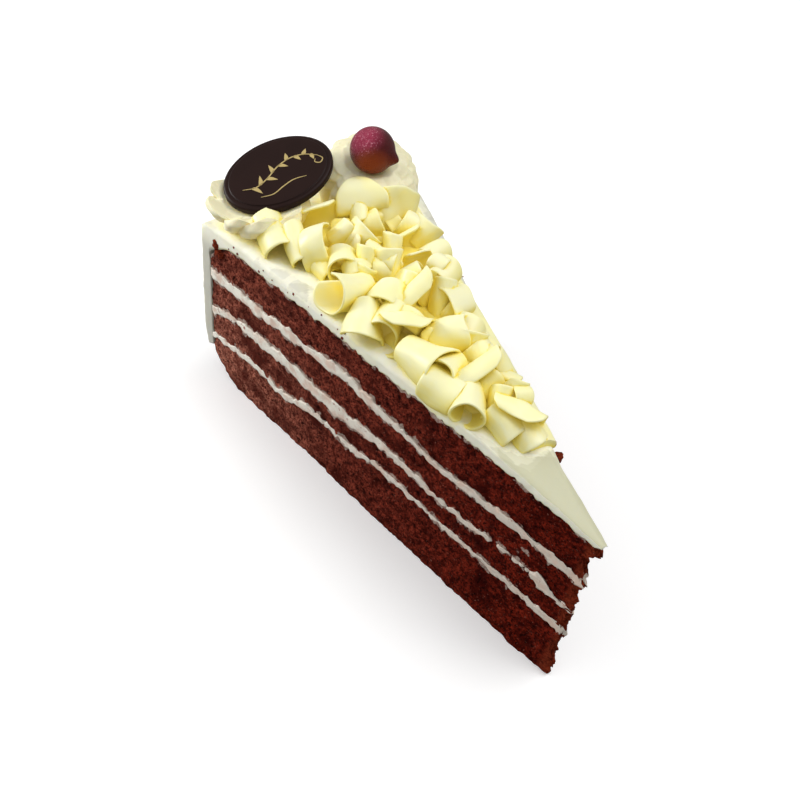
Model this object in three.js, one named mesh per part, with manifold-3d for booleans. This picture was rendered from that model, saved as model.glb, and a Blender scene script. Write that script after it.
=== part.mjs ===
// A slice of a red velvet layer cake, in millimetres, +Z up.
// Four sponges and three fillings run through the slice under a coat of frosting. Two piped
// rosettes at the rim carry a chocolate plaque and a chocolate ball, and white chocolate curls
// cover the top. The origin is on the table, under the middle of the slice: the point of the
// slice is towards +X, the rim towards -X and the two cut faces towards -Y and +Y.

import * as THREE from 'three';
import Module from 'manifold-3d';
import { mergeVertices } from 'three/addons/utils/BufferGeometryUtils.js';

const wasm = await Module();
wasm.setup();

// ---- driving dimensions --------------------------------------------------------------------

const CAKE_RADIUS = 130;          // a 26 cm cake, measured over its frosting
const HALF_ANGLE = 14;            // degrees, half of the slice's angle at the cake's centre
const TIP_SETBACK = 0.6;          // the frosting stops this far short of the cake's centre
const FROSTING_TOP = 50.4;        // height of the frosted top, away from its edges
const SPONGE_TOP = 46.8;
const SPONGE_RADIUS = 126.4;
const COAT_BOTTOM = 9.4;          // the coat on the rim stops above the table
const BOTTOM_BEVEL = 9.4;         // the lower rim edge of the cake is rounded in by this much
const GAP = 0.3;                  // clearance between pieces that touch

const PLAQUE_LENGTH = 29;
const PLAQUE_WIDTH = 22;
const PLAQUE_THICKNESS = 2.4;
const BALL_RADIUS = 5.8;
const CURL_THICKNESS = 1;

// Middle of each filling on the near cut face: [distance from the cake's centre, height].
const FILLING_1 = [[0, 16.4], [30, 16.6], [60, 17.2], [72, 15.9], [84, 16.3], [97, 13.4], [110, 14.8], [127, 13.6]];
const FILLING_2 = [[0, 23.8], [20, 25.4], [38, 23.6], [55, 24.9], [80, 24.4], [100, 25.4], [113, 25.2], [127, 22.8]];
const FILLING_3 = [[0, 34.2], [20, 34.4], [42, 32.9], [57, 34.6], [77, 36.6], [92, 35.6], [106, 34.5], [127, 34.9]];
// Thickness of each filling, in the same way.
const THICKNESS_1 = [[0, 1.8], [20, 1.2], [80, 1.4], [127, 1.2]];
const THICKNESS_2 = [[0, 1.4], [20, 0.9], [55, 1.1], [75, 3.0], [95, 2.4], [127, 1.9]];
const THICKNESS_3 = [[0, 1.6], [40, 1.2], [77, 2.2], [127, 1.9]];
// How far each sponge and filling stops short of the cake's centre, from the table up.
const TIP_AT = [2.4, 3.2, 3.6, 3.4, 4.2, 3.0, 4.6];

// ---- colours ---------------------------------------------------------------------------------

const COLOURS = {
  sponge: 0x6e1c14,
  filling: 0xd9cfc6,
  frosting: 0xf1ecd4,
  rosette: 0xf4ecc9,
  curls: 0xf3e9a4,
  plaque: 0x1c110d,
  ball: 0x6d1a30,
};

// ---- small helpers -----------------------------------------------------------------------------

const radians = THREE.MathUtils.degToRad;
const APEX_X = (CAKE_RADIUS + TIP_SETBACK) / 2;

// A point of the slice from its distance to the cake's centre, its place across the slice
// (-1 on the near cut face, +1 on the far one) and its height.
function inSlice(radius, across, height) {
  const angle = radians(HALF_ANGLE * across);
  return new THREE.Vector3(APEX_X - radius * Math.cos(angle), radius * Math.sin(angle), height);
}

// A value that runs smoothly through a short list of [position, value] pairs.
function through(pairs, position) {
  const last = pairs.length - 1;
  if (position <= pairs[0][0]) return pairs[0][1];
  if (position >= pairs[last][0]) return pairs[last][1];
  const next = pairs.findIndex((pair) => pair[0] > position);
  const [fromAt, from] = pairs[next - 1];
  const [toAt, to] = pairs[next];
  return from + (to - from) * THREE.MathUtils.smoothstep(position, fromAt, toAt);
}

// The crumbly unevenness of a cut or torn surface, between about -1 and 1.
function crags(a, b) {
  return 0.5 * Math.sin(1.31 * a + 2.17 * b) + 0.3 * Math.sin(2.93 * a - 1.7 * b + 1) + 0.2 * Math.sin(5.1 * b + a);
}

// The closed skin of a block of steps[0] x steps[1] x steps[2] cells, bent into shape by place,
// which gets three numbers between 0 and 1 and returns a point.
function block(steps, place) {
  const points = [];
  const faces = [];
  const known = new Map();
  const corner = (index) => {
    const key = index.join();
    if (!known.has(key)) {
      known.set(key, points.length / 3);
      points.push(...place(...index.map((value, axis) => value / steps[axis])).toArray());
    }
    return known.get(key);
  };
  for (let axis = 0; axis < 3; axis += 1) {
    const [second, third] = [(axis + 1) % 3, (axis + 2) % 3];
    for (let j = 0; j < steps[second]; j += 1) {
      for (let k = 0; k < steps[third]; k += 1) {
        for (const end of [0, steps[axis]]) {
          const square = [[j, k], [j + 1, k], [j + 1, k + 1], [j, k + 1]].map(([b, c]) => {
            const index = [0, 0, 0];
            [index[axis], index[second], index[third]] = [end, b, c];
            return corner(index);
          });
          if (end === 0) square.reverse();
          faces.push(square[0], square[1], square[2], square[0], square[2], square[3]);
        }
      }
    }
  }
  const geometry = new THREE.BufferGeometry();
  geometry.setAttribute('position', new THREE.Float32BufferAttribute(points, 3));
  geometry.setIndex(faces);
  return geometry;
}

// A three.js geometry as a solid that can be joined and cut. Its faces are turned to point out.
function solid(geometry) {
  const bare = geometry.clone();
  bare.deleteAttribute('normal');
  bare.deleteAttribute('uv');
  const merged = mergeVertices(bare, 1e-4);
  const vertProperties = new Float32Array(merged.attributes.position.array);
  const triVerts = new Uint32Array(merged.index.array).filter((vertex, place, all) => {
    const start = place - (place % 3);
    const [a, b, c] = [all[start], all[start + 1], all[start + 2]];
    return a !== b && b !== c && c !== a;
  });
  const point = (index) => new THREE.Vector3().fromArray(vertProperties, 3 * index);
  let volume = 0;
  for (let face = 0; face < triVerts.length; face += 3) {
    volume += point(triVerts[face]).dot(point(triVerts[face + 1]).cross(point(triVerts[face + 2])));
  }
  if (volume < 0) {
    for (let face = 0; face < triVerts.length; face += 3) {
      [triVerts[face], triVerts[face + 1]] = [triVerts[face + 1], triVerts[face]];
    }
  }
  return new wasm.Manifold(new wasm.Mesh({ numProp: 3, vertProperties, triVerts }));
}

// The largest body of a solid, as a geometry. Loose scraps are left behind.
function largestBody(cut) {
  const bodies = cut.decompose().sort((a, b) => b.volume() - a.volume());
  const mesh = bodies[0].getMesh();
  const geometry = new THREE.BufferGeometry();
  geometry.setAttribute('position', new THREE.Float32BufferAttribute(mesh.vertProperties, 3));
  geometry.setIndex(Array.from(mesh.triVerts));
  return geometry;
}

const group = new THREE.Group();

function addPiece(name, shape, colour, roughness, metalness = 0) {
  const material = new THREE.MeshStandardMaterial({ color: colour, roughness, metalness });
  const mesh = new THREE.Mesh(largestBody(shape), material);
  mesh.name = name;
  group.add(mesh);
}

// ---- sponges and fillings ------------------------------------------------------------------------

// The height of a filling's middle. It wanders a little from the near cut face to the far one.
function fillingHeight(keys, radius, across) {
  return through(keys, radius) + 0.5 * (across + 1) * Math.sin(radius / 17 + keys[0][1]);
}

function spongeTop(radius) {
  const droop = Math.max(0, 1 - radius / 40);
  const shoulder = Math.max(0, (radius - 112) / (SPONGE_RADIUS - 112));
  return SPONGE_TOP - 1.6 * droop ** 2 - 6.5 * shoulder ** 2.4;
}

// The surfaces between the table and the frosting, from the table up.
const fillings = [[FILLING_1, THICKNESS_1], [FILLING_2, THICKNESS_2], [FILLING_3, THICKNESS_3]];
const surfaces = [() => 0];
for (const [keys, thickness] of fillings) {
  for (const side of [-0.5, 0.5]) {
    surfaces.push((radius, across) => fillingHeight(keys, radius, across) + side * through(thickness, radius));
  }
}
surfaces.push(spongeTop);

// How far out the cake reaches at a height: its lower rim edge is rounded in.
function spongeRadius(height) {
  return SPONGE_RADIUS - BOTTOM_BEVEL * Math.max(0, 1 - height / COAT_BOTTOM) ** 1.6;
}

// One layer between two surfaces, with a ragged tip, a curved rim and uneven cut faces.
function layer(below, above, tip, steps, roughness) {
  return block(steps, (along, acrossStep, up) => {
    const across = 2 * acrossStep - 1;
    const guess = tip + (SPONGE_RADIUS - tip) * along;
    const low = surfaces[below](guess, across) + (below > 0 ? GAP / 2 : 0);
    const high = surfaces[above](guess, across) - GAP / 2;
    const height = low + (high - low) * up;
    const ragged = roughness * crags(height, 4 + below);
    const start = tip + 2 * ragged;
    const radius = start + (spongeRadius(height) - start) * along;
    const point = inSlice(radius, across, height);
    const onCut = acrossStep === 0 || acrossStep === 1;
    if (onCut) point.y += Math.sign(across) * (roughness * crags(radius, height) - roughness);
    return point;
  });
}

const SPONGE_NAMES = ['sponge_bottom', 'sponge_lower', 'sponge_upper', 'sponge_top'];
const FILLING_NAMES = ['filling_lower', 'filling_middle', 'filling_upper'];
SPONGE_NAMES.forEach((name, index) => {
  const tall = index === 0 || index === 3;
  const sponge = layer(2 * index, 2 * index + 1, TIP_AT[2 * index], [22, 4, tall ? 4 : 3], 0.25);
  addPiece(name, solid(sponge), COLOURS.sponge, 0.95);
});
FILLING_NAMES.forEach((name, index) => {
  const filling = layer(2 * index + 1, 2 * index + 2, TIP_AT[2 * index + 1], [22, 4, 1], 0.12);
  addPiece(name, solid(filling), COLOURS.filling, 0.6);
});

// ---- frosting -------------------------------------------------------------------------------------

const FLAT_END = 112;             // the flat part of the top runs from the tip to here
const FLAT_STEPS = 16;
// The shoulder over the rim corner: [inner distance from the cake's centre, inner height,
// outer distance], and below it the rim: [inner height, outer distance, outer height].
const SHOULDER = [[118.5, 46.2, 119.5], [122.8, 43.9, 125.5], [126.8, 41.0, 129.3]];
const RIM = [[37, 130, 45.6], [30, 130, 34], [20, 130, 22], [12.5, 129.6, 13], [COAT_BOTTOM, 128.4, COAT_BOTTOM - 0.6]];
const ACROSS_STEPS = [-1, -0.95, -0.84, -0.4, 0, 0.4, 0.84, 0.95, 1];
const EDGE_ROUNDING = 1.5;        // how much the cut edges of the top are rounded over

function frostingTop(radius, across) {
  const droop = Math.max(0, 1 - radius / 60);
  const shoulder = Math.max(0, (radius - 117) / 13);
  const fromEdge = (1 - Math.abs(across)) * radius * Math.sin(radians(HALF_ANGLE));
  const rounding = Math.max(0, 1 - fromEdge / (2 * EDGE_ROUNDING));
  return FROSTING_TOP - 3.6 * droop ** 2 - 2.4 * shoulder ** 2 - EDGE_ROUNDING * rounding ** 2;
}

const coatSteps = [FLAT_STEPS + SHOULDER.length + RIM.length, ACROSS_STEPS.length - 1, 1];
const frosting = block(coatSteps, (along, acrossStep, outwards) => {
  const across = ACROSS_STEPS[Math.round(acrossStep * coatSteps[1])];
  const step = Math.round(along * coatSteps[0]);
  if (step <= FLAT_STEPS) {
    const start = TIP_SETBACK + 2.6 * (1 - outwards);
    const radius = start + (FLAT_END - start) * (step / FLAT_STEPS);
    const height = outwards ? frostingTop(radius, across) : spongeTop(radius) + GAP / 2;
    return inSlice(radius, across, height);
  }
  if (step <= FLAT_STEPS + SHOULDER.length) {
    const [innerRadius, innerHeight, outerRadius] = SHOULDER[step - FLAT_STEPS - 1];
    if (outwards) return inSlice(outerRadius, across, frostingTop(outerRadius, across));
    return inSlice(innerRadius, across, innerHeight);
  }
  const [innerHeight, outerRadius, outerHeight] = RIM[step - FLAT_STEPS - SHOULDER.length - 1];
  return outwards ? inSlice(outerRadius, across, outerHeight) : inSlice(SPONGE_RADIUS + GAP, across, innerHeight);
});
addPiece('frosting', solid(frosting), COLOURS.frosting, 0.5);

// Everything up to a hair above the frosting, a little wider than the slice, for cutting what
// lies on it to fit.
const belowTop = solid(block([26, 6, 1], (along, acrossStep, up) => {
  const radius = 0.5 + (CAKE_RADIUS + 14) * along;
  const across = 1.5 * (2 * acrossStep - 1);
  const inside = Math.min(1, Math.abs(across));
  const height = frostingTop(Math.min(radius, CAKE_RADIUS), 0.5 * inside) + GAP;
  return inSlice(radius, across, up ? height : 20);
}));

// ---- ball and plaque --------------------------------------------------------------------------------

// A chocolate ball with a short point where it was dipped, turned towards one side.
const BALL_PLACE = new THREE.Vector3(-50.6, 10.6, 66.6);
const POINT_TURN = 38;
const POINT_DIP = 6;
const POINT_LENGTH = 1.5;

function ballShape(grow) {
  const profile = [];
  for (let step = 0; step <= 12; step += 1) {
    const angle = Math.PI * (step / 12 - 0.5);
    const point = THREE.MathUtils.smoothstep(step, 10, 12) * POINT_LENGTH;
    const radius = BALL_RADIUS + grow;
    profile.push(new THREE.Vector2(radius * Math.cos(angle), radius * Math.sin(angle) + point));
  }
  profile[0].x = 0;
  profile[12].x = 0;
  const ball = new THREE.LatheGeometry(profile, 20);
  ball.rotateZ(radians(-90 - POINT_DIP));
  ball.rotateX(radians(90));
  ball.rotateZ(radians(POINT_TURN));
  ball.translate(...BALL_PLACE.toArray());
  return ball;
}

// An oval plaque: a plain rim, then a bevel up to its raised face.
const PLAQUE_PLACE = new THREE.Vector3(-56.1, -12.6, 61.0);
const PLAQUE_FACING = new THREE.Vector3(0.17, -0.3, 0.94).normalize();
const PLAQUE_ALONG = new THREE.Vector3(-0.04, 0.95, 0.31);

function plaqueFrame() {
  const along = PLAQUE_ALONG.clone().addScaledVector(PLAQUE_FACING, -PLAQUE_ALONG.dot(PLAQUE_FACING)).normalize();
  const across = PLAQUE_FACING.clone().cross(along);
  return new THREE.Matrix4().makeBasis(along, across, PLAQUE_FACING).setPosition(PLAQUE_PLACE);
}

function plaqueShape(grow, above = 0) {
  const half = PLAQUE_THICKNESS / 2;
  const outline = [[0, -half], [0.95, -half], [1, -half + 0.4], [1, half - 0.9], [0.965, half - 0.55],
    [0.89, half - 0.5], [0.85, half], [0, half]];
  const profile = outline.map(([share, height]) => {
    const reach = share === 0 ? 0 : share + grow / (PLAQUE_WIDTH / 2);
    return new THREE.Vector2(reach, height + Math.sign(height) * grow + (height > 0 ? above : 0));
  });
  const plaque = new THREE.LatheGeometry(profile, 32);
  plaque.rotateX(radians(90));
  plaque.scale(PLAQUE_LENGTH / 2, PLAQUE_WIDTH / 2, 1);
  plaque.applyMatrix4(plaqueFrame());
  return plaque;
}

const ballSpace = solid(ballShape(GAP));
const plaqueSpace = solid(plaqueShape(GAP, 20));
const plaque = solid(plaqueShape(0));
const ball = solid(ballShape(0));
addPiece('plaque', plaque, COLOURS.plaque, 0.35);
addPiece('ball', ball, COLOURS.ball, 0.35, 0.2);

// ---- rosettes ------------------------------------------------------------------------------------------

// A piped dollop with flutes that turn as they rise. Outline pairs are [share of its height over
// the frosting, share of its radius].
const SOFT_DOME = [[-0.5, 0.4], [0, 0.7], [0.3, 0.92], [0.55, 1], [0.78, 0.93], [0.92, 0.75], [1, 0.5]];
const CROWN = [[-0.5, 0.8], [0, 0.94], [0.3, 0.98], [0.6, 1], [0.85, 0.95], [0.95, 0.86], [1, 0.72]];
const ROSETTES = [
  { name: 'rosette_left', x: -53.8, y: -19.8, radius: 13, tall: 10, outline: SOFT_DOME,
    flutes: 9, depth: 0.1, twist: 35, rise: 0.06 },
  { name: 'rosette_right', x: -52.8, y: 11.8, radius: 12.6, tall: 12.6, outline: CROWN,
    flutes: 11, depth: 0.1, twist: 14, rise: 0.15 },
];
const ROSETTE_FOOT = 44;
const ROSETTE_DIMPLE = 0.08;      // share of the height that the middle of the top sinks
const RISING = new THREE.Vector3(-0.78, 0.62, 0);  // the direction that a rosette's top rises in
const PLAQUE_PRESS = 10;          // how steeply the cream rises outside the plaque

// Presses a point down under the plaque, less and less further out from it.
function underPlaque(point) {
  const local = point.clone().applyMatrix4(plaqueFrame().invert());
  const beyond = Math.hypot(local.x / (PLAQUE_LENGTH / 2), local.y / (PLAQUE_WIDTH / 2)) - 1.02;
  local.z = Math.min(local.z, -PLAQUE_THICKNESS / 2 - GAP + PLAQUE_PRESS * Math.max(0, beyond));
  return local.applyMatrix4(plaqueFrame());
}

function rosetteShape({ x, y, radius, tall, outline, flutes, depth, twist, rise }, grow) {
  const around = 4 * flutes;
  const rings = 7;
  const profile = [new THREE.Vector2(0, 0)];
  for (let ring = 0; ring <= rings; ring += 1) {
    profile.push(new THREE.Vector2(1, ring / rings));
  }
  for (const inwards of [0.6, 0.25, 0]) {
    profile.push(new THREE.Vector2(inwards, 1 - ROSETTE_DIMPLE * (1 - inwards ** 2)));
  }
  const dollop = new THREE.LatheGeometry(profile, around);
  dollop.rotateX(radians(90));
  const position = dollop.attributes.position;
  const height = tall + FROSTING_TOP - ROSETTE_FOOT;
  for (let index = 0; index < position.count; index += 1) {
    const share = position.getZ(index);
    const reach = Math.hypot(position.getX(index), position.getY(index));
    const up = (share * height - FROSTING_TOP + ROSETTE_FOOT) / tall;
    const angle = Math.atan2(position.getY(index), position.getX(index));
    const valley = 1 - Math.abs(Math.cos(flutes * angle / 2)) ** 0.8;
    const lobe = 1 + depth * (0.5 - 2 * valley);
    const out = reach * (radius * through(outline, reach < 0.99 ? 1 : up) * lobe + grow);
    const turned = angle + radians(twist) * up;
    const spot = new THREE.Vector3(out * Math.cos(turned), out * Math.sin(turned), 0);
    const lift = rise * spot.dot(RISING) * THREE.MathUtils.clamp(up, 0, 1);
    spot.add(new THREE.Vector3(x, y, ROSETTE_FOOT + share * (height + grow) + lift));
    position.setXYZ(index, ...underPlaque(spot).toArray());
  }
  return dollop;
}

for (const rosette of ROSETTES) {
  const others = ROSETTES.slice(ROSETTES.indexOf(rosette) + 1).map((other) => solid(rosetteShape(other, GAP)));
  let shape = solid(rosetteShape(rosette, 0)).subtract(belowTop).subtract(ballSpace).subtract(plaqueSpace);
  for (const other of others) shape = shape.subtract(other);
  addPiece(rosette.name, shape, COLOURS.rosette, 0.5);
}

// ---- white chocolate curls -----------------------------------------------------------------------------

// The curls are laid out as they look from over the near side of the slice: the directions to
// the right, up and towards the viewer from there.
const VIEW_RIGHT = new THREE.Vector3(0.51, 0.85, 0.13);
const VIEW_UP = new THREE.Vector3(-0.66, 0.28, 0.7);
const VIEW_NEAR = new THREE.Vector3(0.56, -0.44, 0.7);

// Each curl is a thin strip bent round an axis: [x, y, height of its axis above the frosting,
// radius of the bend, how much it opens towards the last edge, degrees of bend, width along the
// axis, slant of the axis in the view, how far it points at the viewer, where the bulge faces (0
// at the viewer, 90 to the left of the axis), how much wider the bend is at the axis's end, how
// much the first and the last edge narrow].
const CURLS = [
  [-45, 5.6, 6.2, 5.4, 0.1, 165, 13, 5, 0, -12, 0, 0.1, 0.97],
  [-39.5, 14.2, 2.9, 6.6, 0.2, 125, 12, 72, 10, -25, 0.2, 0, 0.1],
  [-49.5, 18, 3.6, 6, 0.2, 130, 8.5, 12, -10, 30, 0, 0.1, 0.2],
  [-42.6, -20.2, 2.4, 4.4, 0.4, 330, 12.5, -60, 22, 60, 0.25, 0.1, 0.1],
  [-36.2, -16.6, 3.6, 2.7, 0.3, 300, 10.5, -66, 15, 10, 0.25, 0.1, 0.1],
  [-32.6, -12, 3, 5.6, 0.3, 220, 6.8, 12, 20, 5, 0, 0, 0],
  [-25.5, -10.4, 3.9, 3.6, 0.35, 290, 8.5, -78, 50, 0, 0.2, 0, 0],
  [-32, -0.8, 4, 3.6, 0.5, 250, 8, 38, 25, -30, 0.2, 0.1, 0.4],
  [-35.4, -4.8, 4.4, 2.4, 0.5, 260, 7.5, 40, 15, -10, 0, 0.2, 0.3],
  [-41.9, -8, 4.7, 4.6, 0.4, 200, 10, 12, 0, 145, 0, 0.1, 0.1],
  [-21, -5.9, 4.6, 2.3, 0.6, 300, 10.5, 84, 8, 100, 0.2, 0.1, 0.1],
  [-25.8, 3.8, 4.6, 2.5, 0.6, 280, 8, 78, 15, 40, 0, 0.1, 0.1],
  [-20.3, -0.6, 4.2, 3.4, 0.5, 230, 9, 86, 12, -20, 0, 0.1, 0.1],
  [-16.4, 5.8, 5.7, 3.8, 0.5, 240, 8, 20, 0, -150, 0, 0.3, 0.3],
  [-15.6, -13.9, 4.3, 4, 0.5, 300, 11.5, -160, 40, 70, 0.6, 0.1, 0.1],
  [-9.4, -7.9, 4.6, 3.8, 0.5, 290, 8.5, -115, 40, 0, 0.4, 0.1, 0.3],
  [-10.3, -1, 4.4, 2.8, 0.5, 260, 8, 66, 10, 0, 0, 0.1, 0.1],
  [-4.9, -1.6, 5.4, 4.6, 0.4, 255, 13, 46, 0, 135, 0.2, 0.1, 0.3],
  [-3.5, 4, 4.2, 2.4, 0.5, 260, 11.5, 80, 10, 0, 0, 0.1, 0.1],
  [-6.6, -15.4, 2.2, 3.9, 0.5, 290, 9.5, -102, 22, 30, 0.35, 0.1, 0.1],
  [-3.6, -10.6, 3.6, 3.6, 0.5, 280, 8.5, -120, 30, 30, 0.2, 0.1, 0.1],
  [2.4, -9.4, 4.6, 4.2, 0.4, 245, 12.5, -5, 0, 146, 0, 0.3, 0.3],
  [9.8, -9.6, 1.8, 4.6, 0.5, 300, 10.5, -35, 28, 20, 0.4, 0.1, 0.1],
  [6.4, 0.2, 2.6, 4.2, 0.4, 240, 9.5, 12, 15, 20, 0.2, 0.2, 0.2],
  [-1.6, 7.4, 4.2, 4.2, 0.3, 330, 7.5, 200, 32, 0, 0.2, 0, 0],
  [-13.5, 10.4, 3.6, 3.3, 0.4, 260, 7, 230, 30, 0, 0, 0.1, 0.2],
  [-25.2, 10.2, 4.6, 4, 0.5, 220, 8.5, 30, 0, 155, 0, 0.2, 0.2],
  [-21.2, 12.6, 3.6, 2.8, 0.4, 280, 6.5, 215, 30, -20, 0, 0.1, 0.1],
  [5.6, 3.8, 2.2, 3.8, 0.4, 250, 7.5, -120, 25, 0, 0.2, 0.1, 0.1],
  [14.2, -6.4, 3.6, 3.2, 0.5, 300, 8, -150, 45, 30, 0.3, 0.1, 0.1],
  [21.2, -1.7, 4.2, 4.6, 0.4, 250, 13.5, 33, 0, 138, 0.2, 0.3, 0.3],
  [23.9, -7.6, 2.6, 3, 0.5, 340, 9, -105, 45, 0, 0.2, 0, 0],
  [18, -10, 1.4, 3.8, 0.4, 250, 9, -34, 15, 10, 0.2, 0.1, 0.1],
  [27.4, -1.1, 2.2, 2.4, 0.4, 200, 8, 75, 0, 0, 0, 0.3, 0.3],
  [32.4, -0.8, 2.6, 4.4, 0.3, 240, 11.5, -28, 12, 135, 0.3, 0.1, 0.6],
  [14.8, 3.4, 1.4, 3.8, 0.3, 230, 9, -55, 10, 10, 0.2, 0.1, 0.2],
  [22.4, 2.2, 1, 3.4, 0.3, 230, 9.5, -60, 10, 15, 0.2, 0.1, 0.3],
  [-30.6, 16, 2.6, 3.8, 0.4, 240, 8, 50, 10, -20, 0, 0.1, 0.2],
  [30.6, -3, 0.6, 3.2, 0.3, 220, 8.5, -50, 10, 10, 0.3, 0.2, 0.3],
  [34.4, 0.4, -0.4, 3, 0.3, 200, 7, -60, 10, 10, 0.3, 0.2, 0.4],
];
const LONGEST_STEP = 68;          // degrees of bend in one flat facet

function curlShape([x, y, height, bend, opening, sweep, width, slant, toward, facing, cone, first, last]) {
  const flat = VIEW_RIGHT.clone().multiplyScalar(Math.cos(radians(slant)));
  flat.addScaledVector(VIEW_UP, Math.sin(radians(slant)));
  const axis = flat.multiplyScalar(Math.cos(radians(toward))).addScaledVector(VIEW_NEAR, Math.sin(radians(toward)));
  axis.normalize();
  const bulge = VIEW_NEAR.clone().addScaledVector(axis, -VIEW_NEAR.dot(axis)).normalize();
  const place = new THREE.Matrix4().makeBasis(axis, bulge.clone().cross(axis), bulge);
  place.setPosition(x, y, FROSTING_TOP + height);
  const steps = Math.max(3, Math.round(sweep / LONGEST_STEP));
  return block([steps, 1, 1], (along, acrossStep, outwards) => {
    const angle = radians(facing + sweep * (along - 0.5));
    const side = acrossStep - 0.5;
    const middle = bend * (1 + cone * side) * (1 + opening * (along - 0.5));
    const radius = middle + CURL_THICKNESS * (outwards - 0.5);
    const narrowing = first * Math.max(0, 1 - 2 * along) ** 2 + last * Math.max(0, 2 * along - 1) ** 2;
    const point = new THREE.Vector3(side * width * (1 - narrowing), radius * Math.sin(angle), radius * Math.cos(angle));
    return point.applyMatrix4(place);
  });
}

// The low bed of curls and shavings under the ones that show.
const BED_INNER = 27;
const BED_OUTER = 118;
const BED_HEIGHT = 3.4;
const bed = block([16, 6, 1], (along, acrossStep, up) => {
  const radius = BED_INNER + (BED_OUTER - BED_INNER) * along;
  const nearLimit = through([[27, -0.1], [45, -0.72], [75, -0.74], [105, -0.68], [118, -0.6]], radius);
  const across = nearLimit + (0.86 - nearLimit) * acrossStep;
  const dome = Math.sin(Math.PI * acrossStep) ** 0.5 * Math.sin(Math.PI * Math.min(1, along + 0.08)) ** 0.4;
  const lump = 0.8 + 0.2 * crags(radius / 3, 6 * across);
  const top = frostingTop(radius, 0.5 * across) + GAP;
  return inSlice(radius, across, up ? top + 0.5 + BED_HEIGHT * dome * lump : top - 2);
});

let curls = solid(bed);
for (const curl of CURLS) curls = curls.add(solid(curlShape(curl)));
curls = curls.subtract(belowTop).subtract(ballSpace).subtract(plaqueSpace);
for (const rosette of ROSETTES) curls = curls.subtract(solid(rosetteShape(rosette, GAP)));
addPiece('chocolate_curls', curls, COLOURS.curls, 0.45);

export default group;
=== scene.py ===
"""The looks of a slice of red velvet layer cake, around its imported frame.

Sizes are in millimetres and become metres where a mesh is made. The slice stands on z = 0 with
its point towards +X and its frosted rim towards -X. The near cut face is on the -Y side.
"""

import math

import bpy
import numpy as np
from mathutils import Euler, Matrix, Vector
from mathutils.bvhtree import BVHTree


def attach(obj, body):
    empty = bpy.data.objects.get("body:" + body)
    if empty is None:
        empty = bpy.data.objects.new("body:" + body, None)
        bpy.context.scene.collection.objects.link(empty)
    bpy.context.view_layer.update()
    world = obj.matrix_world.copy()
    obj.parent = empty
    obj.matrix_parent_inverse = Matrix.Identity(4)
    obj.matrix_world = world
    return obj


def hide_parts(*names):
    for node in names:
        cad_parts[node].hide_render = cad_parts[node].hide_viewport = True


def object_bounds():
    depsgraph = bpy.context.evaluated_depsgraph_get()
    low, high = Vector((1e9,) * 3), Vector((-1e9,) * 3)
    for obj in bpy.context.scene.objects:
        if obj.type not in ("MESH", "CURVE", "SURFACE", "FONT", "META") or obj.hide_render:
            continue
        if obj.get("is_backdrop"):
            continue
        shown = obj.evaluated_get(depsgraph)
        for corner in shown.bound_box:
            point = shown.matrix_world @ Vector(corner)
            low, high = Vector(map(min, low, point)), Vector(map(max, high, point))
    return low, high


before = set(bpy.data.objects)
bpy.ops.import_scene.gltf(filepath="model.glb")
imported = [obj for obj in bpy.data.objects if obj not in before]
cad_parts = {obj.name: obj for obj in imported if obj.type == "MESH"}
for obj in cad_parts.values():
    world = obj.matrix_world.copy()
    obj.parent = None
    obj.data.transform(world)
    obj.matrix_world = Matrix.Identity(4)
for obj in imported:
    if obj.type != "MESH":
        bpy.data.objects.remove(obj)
cad_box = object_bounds()

# ---- driving dimensions, in millimetres ----------------------------------------------------

MM = 0.001
CAKE_RADIUS = 130.0               # the cake's centre is just past the point of the slice
HALF_ANGLE = math.radians(14)
TIP_SETBACK = 0.6
APEX_X = (CAKE_RADIUS + TIP_SETBACK) / 2
FROSTING_TOP = 50.4
SPONGE_TOP = 46.8
SPONGE_RADIUS = 126.4
FLAT_END = 112.0                  # the top starts to fall towards the rim here
COAT_BOTTOM = 9.4
BOTTOM_BEVEL = 9.4

PLAQUE_LENGTH = 29.0
PLAQUE_WIDTH = 22.0
PLAQUE_THICKNESS = 2.4
BALL_RADIUS = 5.8
CURL_THICKNESS = 0.65
EDGE_SOFTNESS = 0.3               # a curl's edge thins out over this width, to this share
EDGE_SHARE = 0.25

# Middle of each filling on the near cut face: (distance from the cake's centre, height).
FILLING_1 = ((0, 16.4), (30, 16.6), (60, 17.2), (72, 15.9), (84, 16.3), (97, 13.4), (110, 14.8), (127, 13.6))
FILLING_2 = ((0, 23.8), (20, 25.4), (38, 23.6), (55, 24.9), (80, 24.4), (100, 25.4), (113, 25.2), (127, 22.8))
FILLING_3 = ((0, 34.2), (20, 34.4), (42, 32.9), (57, 34.6), (77, 36.6), (92, 35.6), (106, 34.5), (127, 34.9))
# Thickness of each filling, in the same way.
THICKNESS_1 = ((0, 1.8), (20, 1.2), (80, 1.4), (127, 1.2))
THICKNESS_2 = ((0, 0.3), (9, 0.4), (11.5, 3.8), (15, 0.3), (26, 0.2), (31, 1.3), (55, 1.3), (75, 3.2),
               (95, 2.8), (127, 2.0))
THICKNESS_3 = ((0, 1.6), (40, 1.2), (77, 2.2), (127, 1.9))
# A patch of cream on the near face: (distance from the cake's centre, height), and its half size.
PATCH_PLACE = (17.0, 29.0)
PATCH_SIZE = (1.9, 1.5)
SMEAR_REACH = 1.6                 # how far cream is smeared out beside a filling
# How far each sponge and filling stops short of the cake's centre, from the table up.
TIP_AT = (2.4, 3.2, 3.6, 3.4, 4.2, 3.0, 4.6)

# ---- camera ---------------------------------------------------------------------------------

CAMERA_PLACE = (112.05, -94.21, 171.61)
CAMERA_AZIMUTH = math.radians(-51.75)
CAMERA_DOWN = math.radians(44.69)
CAMERA_ROLL = math.radians(10.56)
CAMERA_LENS = 37.52
SENSOR_WIDTH = 36

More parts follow.
